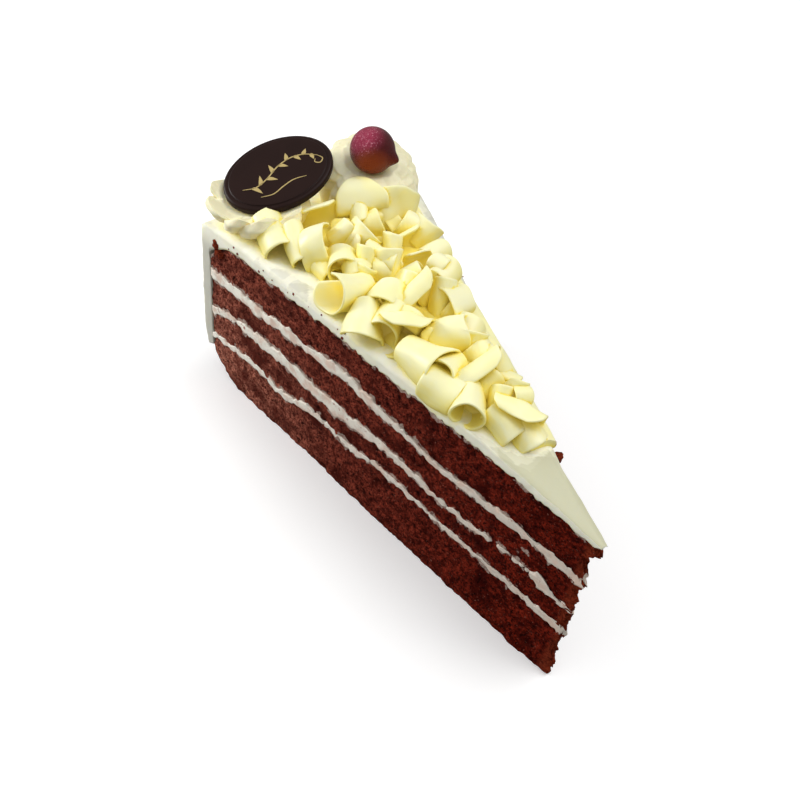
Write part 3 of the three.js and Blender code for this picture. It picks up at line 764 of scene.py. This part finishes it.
def add_crumbs(red):
    """Crumbs that the knife left on the cut frosting, and a few along the edges."""
    spots = list(EDGE_CRUMBS)
    for along, up, small, side in draws(CRUMB_COUNT, 4, CRUMB_SEED):
        radius = CRUMBS_FROM + CRUMBS_OVER * along**0.6
        height = float(sponge_top(np.array([radius]), np.array([0.0]))[0]) + 0.3 + 2.2 * up
        size = CRUMB_SMALLEST + CRUMB_SPREAD * small**2
        spots.append((radius, -1 if side < 0.8 else 1, height, size))
    parts = []
    for index, (radius, across, height, size) in enumerate(spots):
        x, y, z = in_slice(np.array([radius]), np.array([across]), height)[0]
        parts.append(crumb_lump(x, y - 0.35 * size * across, z, size, 300 + index))
    points, faces = joined(parts)
    piece = dress(add_mesh("loose_crumbs", points, faces, red), "sponge")
    for name, share in (("pore_and_coat_shade", 0.0), ("smear", 0.0), ("torn", TORN_SHARE)):
        set_value(piece, name, np.full(len(points), share))


def add_layers():
    """The four sponges, the three fillings and the loose crumbs."""
    crumb = crumb_group()
    red = sponge_material(crumb)
    cream = filling_material(crumb)
    for index, (name, rise) in enumerate(SPONGE_ROWS):
        below, above, tip = 2 * index, 2 * index + 1, TIP_AT[2 * index]
        points, faces = layer(below, above, tip, rise, 0.0, crumb_relief)
        piece = add_mesh(name + "_crumb", points, faces, red)
        radius = np.hypot(APEX_X - points[:, 0], points[:, 1])
        across = np.clip(np.arctan2(points[:, 1], APEX_X - points[:, 0]) / HALF_ANGLE, -1, 1)
        # Painted shade in a band under the coat's overhang, kept with the pores' depth.
        under_coat = smoothstep(sponge_top(radius, across) - points[:, 2], 1.5, 0.2)
        shaded = 0.6 * under_coat * (noise(points, 1.5, 58) > -0.2)
        set_value(piece, "pore_and_coat_shade", np.maximum(pit_depth(points), shaded))
        set_value(piece, "smear", cream_smear(points, radius, across, below, above))
        set_value(piece, "torn", TORN_SHARE * smoothstep(APEX_X - tip - points[:, 0], 2.0, 0.3))
        dress(piece, "sponge", name)
    for index, (name, rise) in enumerate(FILLING_ROWS):
        below, above, tip = 2 * index + 1, 2 * index + 2, TIP_AT[2 * index + 1]
        points, faces = layer(below, above, tip, rise, FILLING_OVERLAP, cream_relief)
        dress(add_mesh(name + "_cream", points, faces, cream), "filling", name)
    add_crumbs(red)


# ---- frosting -------------------------------------------------------------------------------

EDGE_ROUNDING = 2.8
COAT_DROOP = 3.6                  # how far the coat sinks towards the point
COAT_SHOULDER = 2.4               # how far it falls at the rim, from this far out
COAT_SHOULDER_AT = 117.0
FROSTING_TIP = 3.1                # the frosting stops this far from the cake's centre
FROSTING_UNDERCUT = 1.6           # how much further out its underside starts
FLAT_CELLS, RIM_CELLS, COAT_ACROSS, COAT_DEEP = 330, 90, 64, 6
# Over the shoulder: distance and height of the inside, distance of the outside.
SHOULDER = ((118.5, 46.2, 119.5), (122.8, 43.9, 125.5), (126.8, 41.0, 129.3))
# Down the rim: height of the inside, distance and height of the outside.
RIM = ((37, 130, 45.6), (30, 130, 34), (20, 130, 22), (12.5, 129.6, 13),
       (COAT_BOTTOM, 128.4, COAT_BOTTOM - 0.6))


def frosting_top(radius, across):
    """Height of the coat, with its edges rounded, less so near the point."""
    droop = np.clip(1 - radius / 60, 0, None)
    shoulder = np.clip((radius - COAT_SHOULDER_AT) / (CAKE_RADIUS - COAT_SHOULDER_AT), 0, None)
    from_edge = (1 - np.abs(across)) * radius * math.sin(HALF_ANGLE)
    rounding = np.clip(1 - from_edge / EDGE_ROUNDING, 0, 1)
    edge = EDGE_ROUNDING * (1 - np.sqrt(1 - 0.98 * rounding**2))
    edge *= 0.25 + 0.5 * smoothstep(radius, 10, 70)
    return FROSTING_TOP - COAT_DROOP * droop**2 - COAT_SHOULDER * shoulder**2 - edge


def smooth_path(points, count):
    """Points along a smooth curve through the given ones (a Catmull-Rom curve)."""
    points = np.asarray(points, float)
    padded = np.concatenate([2 * points[:1] - points[1:2], points, 2 * points[-1:] - points[-2:-1]])
    place = np.linspace(0, len(points) - 1, count)
    first = np.minimum(place.astype(int), len(points) - 2)
    share = (place - first)[:, None]
    before, start, end, after = (padded[first + step] for step in range(4))
    linear = end - before
    square = 2 * before - 5 * start + 4 * end - after
    cube = 3 * start - before - 3 * end + after
    return 0.5 * (2 * start + linear * share + square * share**2 + cube * share**3)


def add_frosting(painted_shade_tint):
    """The coat over the top and down the rim, as one block bent over the shoulder."""
    cream = cream_material("frosting_cream", COAT_TINTS, COAT_ROUGHNESS, painted_shade_tint)
    inner_start = FROSTING_TIP + FROSTING_UNDERCUT
    inner_keys = [(FLAT_END, SPONGE_TOP)] + [key[:2] for key in SHOULDER]
    inner_keys += [(SPONGE_RADIUS + 0.1, key[0]) for key in RIM]
    outer_keys = [(FLAT_END, FROSTING_TOP)] + [(key[2], float(frosting_top(key[2], 0.0))) for key in SHOULDER]
    outer_keys += [key[1:] for key in RIM]
    inner_rim = smooth_path(inner_keys, RIM_CELLS + 1)
    outer_rim = smooth_path(outer_keys, RIM_CELLS + 1)

    def place(along, across_share, outwards):
        across = np.sin((across_share - 0.5) * math.pi)
        step = np.rint(along * (FLAT_CELLS + RIM_CELLS)).astype(int)
        flat = step <= FLAT_CELLS
        share = np.clip(step / FLAT_CELLS, 0, 1)
        inner_radius = inner_start + (FLAT_END - inner_start) * share
        outer_radius = FROSTING_TIP + (FLAT_END - FROSTING_TIP) * share
        rim_step = np.clip(step - FLAT_CELLS, 0, RIM_CELLS)
        under = np.stack([inner_radius, sponge_top(inner_radius, across) - FILLING_OVERLAP], axis=1)
        inner = np.where(flat[:, None], under, inner_rim[rim_step])
        over = np.stack([outer_radius, frosting_top(outer_radius, across)], axis=1)
        outer = np.where(flat[:, None], over, outer_rim[rim_step])
        top_share = 1 - smoothstep(outer[:, 0], 122, 130)
        rounded_off = FROSTING_TOP - frosting_top(0 * across + 100, across)
        outer[:, 1] -= np.where(flat, 0, rounded_off * top_share)
        section = inner + (outer - inner) * outwards[:, None]
        points = in_slice(section[:, 0], across, section[:, 1])
        on_skin = smoothstep(outwards, 0.7, 1)
        swept = 0.20 * noise(points, 14, 71) + 0.07 * noise(points, 4, 72)
        points[:, 2] += on_skin * swept * np.where(flat, 1, 0.4)
        points[:, 1] -= far_edge(section[:, 0], across)
        cut = np.sign(across) * smoothstep(np.abs(across), 0.93, 1)
        points[:, 1] += cut * (0.12 * noise(points, 4, 73) + 0.07 * noise(points, 1.2, 74))
        return points

    points, faces = block((FLAT_CELLS + RIM_CELLS, COAT_ACROSS, COAT_DEEP), place)
    return dress(add_mesh("frosting_coat", points, faces, cream), "frosting", "frosting")


# ---- ball and plaque ------------------------------------------------------------------------

BALL_PLACE = (-50.6, 10.6, 66.6)
POINT_TURN = 38.0                 # where the ball's small point faces, in degrees
POINT_DIP = 6.0
POINT_LENGTH = 1.5
BALL_RINGS, BALL_AROUND = 60, 90
# Painted sheen: the ball is magenta on the side that faces this way.
SHEEN_FACING = PICTURE_NEAR * 0.80 + PICTURE_UP * 0.45 - PICTURE_RIGHT * 0.40
UNDERSIDE_FACING = PICTURE_NEAR * 0.35 - PICTURE_UP * 0.94


def turned(profile, around):
    """A closed turned shape about Z from (radius, height) points, both ends on the axis."""
    profile = np.asarray(profile, float)
    angles = np.arange(around) * 2 * math.pi / around
    ring = profile[1:-1]
    points = np.stack(
        [
            np.outer(ring[:, 0], np.cos(angles)).ravel(),
            np.outer(ring[:, 0], np.sin(angles)).ravel(),
            np.repeat(ring[:, 1], around),
        ],
        axis=1,
    )
    bottom, top = len(points), len(points) + 1
    points = np.concatenate([points, [(0, 0, profile[0, 1]), (0, 0, profile[-1, 1])]])
    faces = []
    step = np.arange(around)
    following = (step + 1) % around
    for index in range(len(ring) - 1):
        low, high = index * around, (index + 1) * around
        faces += np.stack([low + step, low + following, high + following, high + step], 1).tolist()
    last = (len(ring) - 1) * around
    faces += [(bottom, int(after), int(now)) for now, after in zip(step, following)]
    faces += [(top, int(last + now), int(last + after)) for now, after in zip(step, following)]
    return points, faces


def moved(points, matrix):
    """The points as a matrix moves them."""
    matrix = np.array(matrix)
    return points @ matrix[:3, :3].T + matrix[:3, 3]


def add_ball():
    """The ball with its small point, and the values of its painted sheen and its orange brown underside."""
    angles = np.linspace(-math.pi / 2, math.pi / 2, BALL_RINGS)
    point = POINT_LENGTH * smoothstep(angles, 1.05, math.pi / 2) ** 1.5
    profile = np.stack([BALL_RADIUS * np.cos(angles), BALL_RADIUS * np.sin(angles) + point], axis=1)
    points, faces = turned(profile, BALL_AROUND)
    tilt = Euler((0, math.radians(90 + POINT_DIP), math.radians(POINT_TURN))).to_matrix().to_4x4()
    points = moved(points, Matrix.Translation(BALL_PLACE) @ tilt)
    piece = add_mesh("pearl_ball", points, faces, ball_material())
    outwards = (points - BALL_PLACE) / BALL_RADIUS
    set_value(piece, "sheen", smoothstep(outwards @ np.array(SHEEN_FACING), 0.38, 1.0))
    set_value(piece, "under", smoothstep(outwards @ np.array(UNDERSIDE_FACING), 0.42, 1.0))
    return dress(piece, "ball", "ball")


PLAQUE_PLACE = (-56.1, -12.6, 61.0)
PLAQUE_FACING = (0.17, -0.30, 0.94)
PLAQUE_ALONG = (-0.04, 0.95, 0.31)
PLAQUE_RINGS, PLAQUE_AROUND = 79, 128


def plaque_frame():
    """The plaque's long axis, its short one and the direction it faces."""
    facing = Vector(PLAQUE_FACING).normalized()
    along = Vector(PLAQUE_ALONG)
    along = (along - along.dot(facing) * facing).normalized()
    across = facing.cross(along)
    return Matrix.Translation(PLAQUE_PLACE) @ Matrix((along, across, facing)).transposed().to_4x4()


def add_plaque():
    """The oval plaque, turned as a disc and drawn out lengthwise."""
    half = PLAQUE_THICKNESS / 2
    # (share of the radius, height): a rounded edge, then a step up to the raised middle.
    outline = [(0, -half), (0.6, -half), (0.93, -half), (0.975, -half + 0.12), (1, -half + 0.5),
               (1, half - 1.0), (0.99, half - 0.62), (0.965, half - 0.36), (0.93, half - 0.28),
               (0.90, half - 0.27), (0.885, half - 0.14), (0.865, half), (0.6, half), (0, half)]
    profile = smooth_path(outline, PLAQUE_RINGS)
    profile[:, 0] = np.clip(profile[:, 0], 0, 1)
    profile[[0, -1], 0] = 0
    points, faces = turned(profile, PLAQUE_AROUND)
    points = points * (PLAQUE_LENGTH / 2, PLAQUE_WIDTH / 2, 1)
    points = moved(points, plaque_frame())
    return dress(add_mesh("oval_plaque", points, faces, plaque_material()), "plaque", "plaque")


# ---- gold sprig on the plaque ---------------------------------------------------------------

SPRIG_THICKNESS = 0.10
# The stem's course on the plaque: (along, across) in millimetres; then the line below it.
STEM = ((-10.2, -0.4), (-7.0, -1.6), (-3.2, -0.6), (0.6, 1.2), (4.6, 1.8), (8.0, 0.8), (10.6, -1.4))
UNDERLINE = ((-7.6, -5.0), (-4.6, -5.9), (-1.4, -5.2), (1.8, -4.8), (5.0, -5.6))
CURL_END = ((10.6, -1.4), (11.2, -3.0), (10.0, -3.9), (9.0, -3.0), (9.6, -2.1))
LEAF_COUNT = 9
LEAF_LENGTH = 3.3
LEAF_WIDTH = 1.05
RIBBON_STEPS = 32


def ribbon(course, width, leaf):
    """A flat ribbon on the plaque along a smooth course; a leaf is widest in its middle."""
    line = smooth_path(course, RIBBON_STEPS + 1)
    ahead = np.gradient(line, axis=0)
    ahead /= np.linalg.norm(ahead, axis=1)[:, None]

    def place(along, across_share, up):
        step = np.rint(along * RIBBON_STEPS).astype(int)
        shape = np.sin(math.pi * np.clip(along, 0.03, 0.97)) ** (0.9 if leaf else 0.35)
        sideways = (across_share - 0.5) * width * shape
        flat = line[step] + sideways[:, None] * np.stack([-ahead[step, 1], ahead[step, 0]], axis=1)
        height = PLAQUE_THICKNESS / 2 - 0.04 + SPRIG_THICKNESS * up
        return moved(np.column_stack([flat, height]), plaque_frame())

    return block((RIBBON_STEPS, 2, 1), place)


def add_sprig():
    """A stem with leaves on both sides, a curled end and a thin wavy line under it."""
    parts = [ribbon(STEM, 0.34, False), ribbon(CURL_END, 0.28, False), ribbon(UNDERLINE, 0.3, False)]
    stem = smooth_path(STEM, LEAF_COUNT + 2)[1:-1]
    ahead = np.gradient(stem, axis=0)
    ahead /= np.linalg.norm(ahead, axis=1)[:, None]
    for index, (root, course) in enumerate(zip(stem, ahead)):
        side = 1 if index % 2 else -1
        aside = np.array((-course[1], course[0])) * side
        length = LEAF_LENGTH * (1 - 0.05 * index)
        middle = root + (0.62 * course + 0.36 * aside) * length * 0.5
        tip = root + (0.62 * course + 0.80 * aside) * length
        parts.append(ribbon((root, middle, tip), LEAF_WIDTH, True))
    dress(add_mesh("gold_sprig", *joined(parts), gold_material(), 40), None)


# ---- rosettes -------------------------------------------------------------------------------

SOFT_DOME = ((-0.5, 0.4), (0, 0.70), (0.3, 0.92), (0.55, 1), (0.78, 0.93), (0.92, 0.75), (1, 0.5))
CROWN = ((-0.5, 0.8), (0, 0.95), (0.3, 1), (0.55, 0.99), (0.8, 0.90), (0.93, 0.76), (1, 0.56))
# Solid, x, y, radius, height, outline, flutes, their depth, degrees of twist, rise to the back,
# how far a flute's valley sinks at the top of the rim. An outline is (share of the height above
# the frosting, share of the radius).
ROSETTES = (
    ("rosette_left", -53.4, -19.2, 12.3, 10.0, SOFT_DOME, 9, 0.08, 35, 0.06, 0.9),
    ("rosette_right", -52.8, 11.8, 13.0, 12.8, CROWN, 13, 0.045, 10, 0.28, 0.15),
)
ROSETTE_FOOT = 44.0
ROSETTE_BACK = (-0.78, 0.62, 0)   # the side on which a rosette stands higher
ROSETTE_DIMPLE = 0.08             # share of the height that the middle of the top sinks
ROSETTE_AROUND, ROSETTE_RINGS, ROSETTE_CAP_RINGS = 260, 110, 12


def under_plaque(points, valley):
    """Presses points down under the plaque, less and less further out, with the flutes' ridges."""
    local = moved(points, plaque_frame().inverted())
    beyond = np.hypot(local[:, 0] / (PLAQUE_LENGTH / 2), local[:, 1] / (PLAQUE_WIDTH / 2)) - 1.02
    limit = -PLAQUE_THICKNESS / 2 - 0.1 + 12 * np.clip(beyond, 0, None)
    limit -= 2.4 * valley * smoothstep(beyond, 0, 0.2)
    local[:, 2] = np.minimum(local[:, 2], limit)
    return moved(local, plaque_frame())


def add_rosettes(painted_shade_tint):
    """Two piped rosettes: fluted, twisted and leaning domes; the plaque presses on them."""
    cream = cream_material("piped_cream", PIPED_TINTS, PIPED_ROUGHNESS, painted_shade_tint)
    pieces = []
    for name, x, y, radius, tall, outline, flutes, depth, twist, rise, sink in ROSETTES:
        height = tall + FROSTING_TOP - ROSETTE_FOOT
        rim = np.stack([np.ones(ROSETTE_RINGS), np.linspace(0, 1, ROSETTE_RINGS)], axis=1)
        inwards = np.linspace(0.94, 0.06, ROSETTE_CAP_RINGS)
        cap = np.stack([inwards, 1 - ROSETTE_DIMPLE * (1 - inwards**2)], axis=1)
        profile = np.concatenate([[(0, 0)], rim, cap, [(0, 1 - ROSETTE_DIMPLE)]])
        points, faces = turned(profile, ROSETTE_AROUND)
        reach = np.hypot(points[:, 0], points[:, 1])
        share = points[:, 2]
        up = (share * height - FROSTING_TOP + ROSETTE_FOOT) / tall
        angle = np.arctan2(points[:, 1], points[:, 0])
        wander = angle + 0.10 * np.sin(3 * angle + x) + 0.05 * np.sin(5 * angle)
        valley = 1 - np.abs(np.cos(flutes * wander / 2)) ** 0.8
        lobe = 1 + 0.5 * depth - 2 * depth * valley + 0.03 * np.sin(2 * angle + 1)
        out = reach * radius * through(outline, np.where(reach < 0.99, 1, up)) * lobe
        turn = angle + math.radians(twist) * up
        stood = ROSETTE_FOOT + share * height
        points = np.stack([x + out * np.cos(turn), y + out * np.sin(turn), stood], axis=1)
        back = (points - (x, y, 0)) @ np.array(ROSETTE_BACK)
        points[:, 2] += (0.3 * noise(points, 3, 83) + rise * back) * np.clip(up, 0, 1)
        points[:, 2] -= sink * valley * reach * smoothstep(up, 0.6, 1)
        piece = add_mesh(name + "_piped", under_plaque(points, valley), faces, cream)
        pieces.append(dress(piece, "rosette", name))
    return pieces


# ---- white chocolate curls ------------------------------------------------------------------

# x, y, height of the axis above the frosting; radius of the bend, how much it opens towards the
# last edge, degrees of bend, width along the axis; slant of the axis in the picture, how far it
# points at the viewer, where the bulge faces (0 at the viewer, 90 to the left of the axis); how
# much wider the bend is at the axis's end, narrowing of the first and the last edge.
CURLS = (
    (-45.0, 5.6, 6.2, 5.4, 0.1, 165, 13.0, 5, 0, -12, 0.0, 0.1, 0.97),
    (-41.4, 12.8, 4.2, 6.4, 0.2, 125, 12.0, 74, 10, -20, 0.2, 0.1, 0.5),
    (-49.5, 18.0, 3.6, 6.0, 0.2, 130, 8.5, 12, -10, 30, 0.0, 0.1, 0.2),
    (-42.6, -20.2, 2.4, 4.4, 0.4, 330, 12.5, -60, 22, 60, 0.25, 0.1, 0.1),
    (-36.2, -16.6, 3.6, 2.7, 0.3, 300, 10.5, -66, 15, 10, 0.25, 0.1, 0.1),
    (-32.6, -12.0, 3.0, 5.6, 0.3, 220, 6.8, 12, 20, 5, 0.0, 0.0, 0.0),
    (-25.5, -10.4, 3.9, 3.6, 0.35, 290, 8.5, -78, 50, 0, 0.2, 0.0, 0.0),
    (-32.0, -0.8, 4.0, 3.6, 0.5, 250, 8.0, 38, 25, -30, 0.2, 0.1, 0.4),
    (-35.4, -4.8, 4.4, 2.4, 0.5, 260, 7.5, 40, 15, -10, 0.0, 0.2, 0.3),
    (-41.9, -8.0, 4.7, 4.6, 0.4, 200, 10.0, 12, 0, 145, 0.0, 0.1, 0.1),
    (-21.0, -5.9, 4.6, 2.3, 0.6, 300, 10.5, 84, 8, 100, 0.2, 0.1, 0.1),
    (-25.8, 3.8, 4.6, 2.5, 0.6, 280, 8.0, 78, 15, 40, 0.0, 0.1, 0.1),
    (-20.3, -0.6, 4.2, 3.4, 0.5, 230, 9.0, 86, 12, -20, 0.0, 0.1, 0.1),
    (-16.4, 5.8, 5.7, 3.8, 0.5, 240, 8.0, 20, 0, -150, 0.0, 0.3, 0.3),
    (-15.6, -13.9, 5.0, 4.0, 0.5, 300, 11.5, -160, 40, 70, 0.6, 0.1, 0.1),
    (-9.4, -7.9, 4.6, 3.8, 0.5, 290, 8.5, -115, 40, 0, 0.4, 0.1, 0.3),
    (-10.3, -1.0, 4.4, 2.8, 0.5, 260, 8.0, 66, 10, 0, 0.0, 0.1, 0.1),
    (-4.9, -1.6, 5.4, 4.6, 0.4, 255, 13.0, 46, 0, 135, 0.2, 0.1, 0.3),
    (-3.5, 4.0, 4.2, 2.4, 0.5, 260, 11.5, 80, 10, 0, 0.0, 0.1, 0.1),
    (-6.6, -15.4, 2.2, 3.9, 0.5, 290, 9.5, -102, 22, 30, 0.35, 0.1, 0.1),
    (-3.6, -10.6, 3.6, 3.6, 0.5, 280, 8.5, -120, 30, 30, 0.2, 0.1, 0.1),
    (2.4, -9.4, 4.6, 4.2, 0.4, 245, 12.5, -5, 0, 146, 0.0, 0.3, 0.3),
    (9.8, -9.6, 1.8, 4.6, 0.5, 300, 10.5, -35, 28, 20, 0.4, 0.1, 0.1),
    (6.4, 0.2, 2.6, 4.2, 0.4, 240, 9.5, 12, 15, 20, 0.2, 0.2, 0.2),
    (-2.4, 5.8, 4.4, 4.0, 0.3, 330, 7.5, 200, 32, 0, 0.2, 0.0, 0.0),
    (-13.5, 10.4, 3.6, 3.3, 0.4, 260, 7.0, 230, 30, 0, 0.0, 0.1, 0.2),
    (-25.8, 9.2, 4.6, 3.8, 0.5, 220, 8.0, 30, 0, 155, 0.0, 0.2, 0.2),
    (-21.2, 12.6, 3.6, 2.8, 0.4, 280, 6.5, 215, 30, -20, 0.0, 0.1, 0.1),
    (5.6, 3.8, 2.2, 3.8, 0.4, 250, 7.5, -120, 25, 0, 0.2, 0.1, 0.1),
    (14.2, -6.4, 3.6, 3.2, 0.5, 300, 8.0, -150, 45, 30, 0.3, 0.1, 0.1),
    (21.2, -1.7, 4.2, 4.6, 0.4, 250, 13.5, 33, 0, 138, 0.2, 0.3, 0.3),
    (23.9, -7.6, 2.6, 3.0, 0.5, 340, 9.0, -105, 45, 0, 0.2, 0.0, 0.0),
    (18.0, -10.0, 1.4, 3.8, 0.4, 250, 9.0, -34, 15, 10, 0.2, 0.1, 0.1),
    (27.4, -1.1, 2.2, 2.4, 0.4, 200, 8.0, 75, 0, 0, 0.0, 0.3, 0.3),
    (31.8, -1.4, 2.4, 4.2, 0.3, 240, 11.5, -32, 12, 135, 0.3, 0.1, 0.8),
    (14.8, 3.4, 1.4, 3.8, 0.3, 230, 9.0, -55, 10, 10, 0.2, 0.1, 0.2),
    (22.4, 2.2, 1.0, 3.4, 0.3, 230, 9.5, -60, 10, 15, 0.2, 0.1, 0.3),
    (-30.6, 16.0, 2.6, 3.8, 0.4, 240, 8.0, 50, 10, -20, 0.0, 0.1, 0.2),
    (-37.4, 3.4, 2.6, 3.4, 0.4, 240, 9.0, 20, 10, 0, 0.2, 0.1, 0.2),
    (-28.8, -13.4, 1.0, 3.2, 0.4, 240, 8.0, -50, 15, 20, 0.0, 0.1, 0.1),
    (30.6, -3.0, 0.6, 3.2, 0.3, 220, 8.5, -50, 10, 10, 0.3, 0.2, 0.3),
    (34.4, 0.4, -0.4, 3.0, 0.3, 200, 7.0, -60, 10, 10, 0.3, 0.2, 0.4),
    (-14.2, 1.6, 3.0, 3.4, 0.5, 250, 9.0, 30, 10, 120, 0.0, 0.1, 0.1),
    (-28.0, -4.0, 3.0, 3.2, 0.5, 240, 8.5, 60, 10, 150, 0.0, 0.1, 0.1),
)
CURL_CELLS = (40, 14, 1)
CURL_WOBBLE = 0.7
CURL_SEED = 200                   # of the first curl, and three on for each one after it


def curl_frame(x, y, height, slant, toward):
    """A curl's axis, the direction of its bulge when it faces the viewer, and the third one."""
    slant, toward = math.radians(slant), math.radians(toward)
    flat = math.cos(slant) * PICTURE_RIGHT + math.sin(slant) * PICTURE_UP
    axis = (math.cos(toward) * flat + math.sin(toward) * PICTURE_NEAR).normalized()
    bulge = (PICTURE_NEAR - PICTURE_NEAR.dot(axis) * axis).normalized()
    turn = Matrix((axis, bulge.cross(axis), bulge)).transposed().to_4x4()
    return Matrix.Translation((x, y, FROSTING_TOP + height)) @ turn


def curl_shape(row, seed, cells):
    """A thin strip bent round an axis, from one of the rows above."""
    x, y, height, bend, opening, sweep, width, slant, toward, facing, cone, first, last = row
    frame_of_curl = curl_frame(x, y, height, slant, toward)

    def place(along, across_share, outwards):
        # The cells crowd towards the edges, which are rounded.
        along = 0.5 - 0.5 * np.cos(math.pi * along)
        across_share = 0.5 - 0.5 * np.cos(math.pi * across_share)
        angle = np.radians(facing + sweep * (along - 0.5))
        side = across_share - 0.5
        length = math.radians(sweep) * bend
        to_edge = np.minimum((0.5 - np.abs(along - 0.5)) * length, (0.5 - np.abs(side)) * width)
        edge = np.clip(1 - to_edge / EDGE_SOFTNESS, 0, 1)
        thick = CURL_THICKNESS * (EDGE_SHARE + (1 - EDGE_SHARE) * np.sqrt(1 - edge**2))
        middle = bend * (1 + cone * side) * (1 + opening * (along - 0.5))
        full = 1 - first * np.clip(1 - 2 * along, 0, 1) ** 2 - last * np.clip(2 * along - 1, 0, 1) ** 2
        full *= np.sqrt(1 - 0.6 * np.clip((np.abs(2 * along - 1) - 0.75) / 0.25, 0, 1) ** 2)
        sheet = np.stack([side * width * full, middle * np.sin(angle), middle * np.cos(angle)], axis=1)
        wobble = np.stack([noise(sheet, 5, seed + step) for step in range(3)], axis=1)
        outward = np.stack([0 * angle, np.sin(angle), np.cos(angle)], axis=1)
        skin = outward * (thick * (outwards - 0.5))[:, None]
        return moved(sheet + CURL_WOBBLE * wobble + skin, frame_of_curl)

    return block(cells, place)


SHAVING_COUNT = 30
SHAVING_CELLS = (16, 8, 1)
SHAVING_FORM_SEED = 400
SHAVING_SEED = 9
SHAVING_INNER, SHAVING_OUTER = 34, 108
# (distance from the cake's centre, nearest and furthest place across the slice).
SHAVING_ACROSS = ((34, 0.0, 0.40), (60, -0.45, 0.50), (108, -0.42, 0.55))


def shavings():
    """Small thin shavings, as rows like those of the curls."""
    drawn = draws(SHAVING_COUNT, 8, SHAVING_SEED)
    low = [(radius, first) for radius, first, last in SHAVING_ACROSS]
    high = [(radius, last) for radius, first, last in SHAVING_ACROSS]
    for along, side, up, bend, sweep, width, slant, facing in drawn:
        radius = SHAVING_INNER + (SHAVING_OUTER - SHAVING_INNER) * np.array([along**0.7])
        across = through(low, radius) + (through(high, radius) - through(low, radius)) * side
        x, y, height = in_slice(radius, across, 2.2 + 3.0 * up)[0]
        shape = 1.5 + 2.2 * bend, 0.5, 130 + 140 * sweep, 3.5 + 4.0 * width
        yield (x, y, height, *shape, 360 * slant, 25 * up, 180 * facing - 90, 0.0, 0.3, 0.5)


BED_INNER, BED_OUTER, BED_HEIGHT = 27, 118, 3.4
BED_CELLS = (120, 60, 1)
# The bed's near edge: (distance from the cake's centre, place across the slice).
BED_NEAR = ((27, -0.1), (45, -0.72), (75, -0.74), (105, -0.68), (118, -0.6))
BED_FAR = 0.86


def bed_shape():
    """The low bed of curls and shavings under the ones that show."""

    def place(along, across_share, up):
        radius = BED_INNER + (BED_OUTER - BED_INNER) * along
        near = through(BED_NEAR, radius)
        across = near + (BED_FAR - near) * across_share
        dome = np.sin(math.pi * across_share) ** 0.5 * np.sin(math.pi * np.minimum(1, along + 0.08)) ** 0.4
        spots = np.stack([radius, 30 * across, 0 * radius], axis=1)
        lump = 0.75 + 0.25 * noise(spots, 6, 81) + 0.1 * noise(spots, 2.5, 82)
        top = frosting_top(radius, 0.5 * across)
        return in_slice(radius, across, np.where(up > 0.5, top + 0.3 + BED_HEIGHT * dome * lump, top - 1))

    return block(BED_CELLS, place)


def add_curls(painted_shade_tint):
    """The bed, the curls and the shavings as one heap."""
    parts = [bed_shape()]
    for rows, seed, cells in ((CURLS, CURL_SEED, CURL_CELLS), (shavings(), SHAVING_FORM_SEED, SHAVING_CELLS)):
        parts += [curl_shape(row, seed + 3 * index, cells) for index, row in enumerate(rows)]
    piece = add_mesh("white_curls", *joined(parts), curl_material(painted_shade_tint), 75)
    return dress(piece, "curls", "chocolate_curls")


# ---- everything -----------------------------------------------------------------------------


add_camera()
add_world()
for lamp_row in LAMPS:
    add_light(*lamp_row)
add_floor()
bpy.context.scene.view_settings.view_transform = "Standard"
add_layers()
painted_shade_tint = sky_group()
coat = add_frosting(painted_shade_tint)
ball = add_ball()
plaque = add_plaque()
add_sprig()
share_sky(coat, ball, plaque, *add_rosettes(painted_shade_tint), add_curls(painted_shade_tint))

boxes = [[list(corner) for corner in box] for box in (cad_box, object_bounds())]
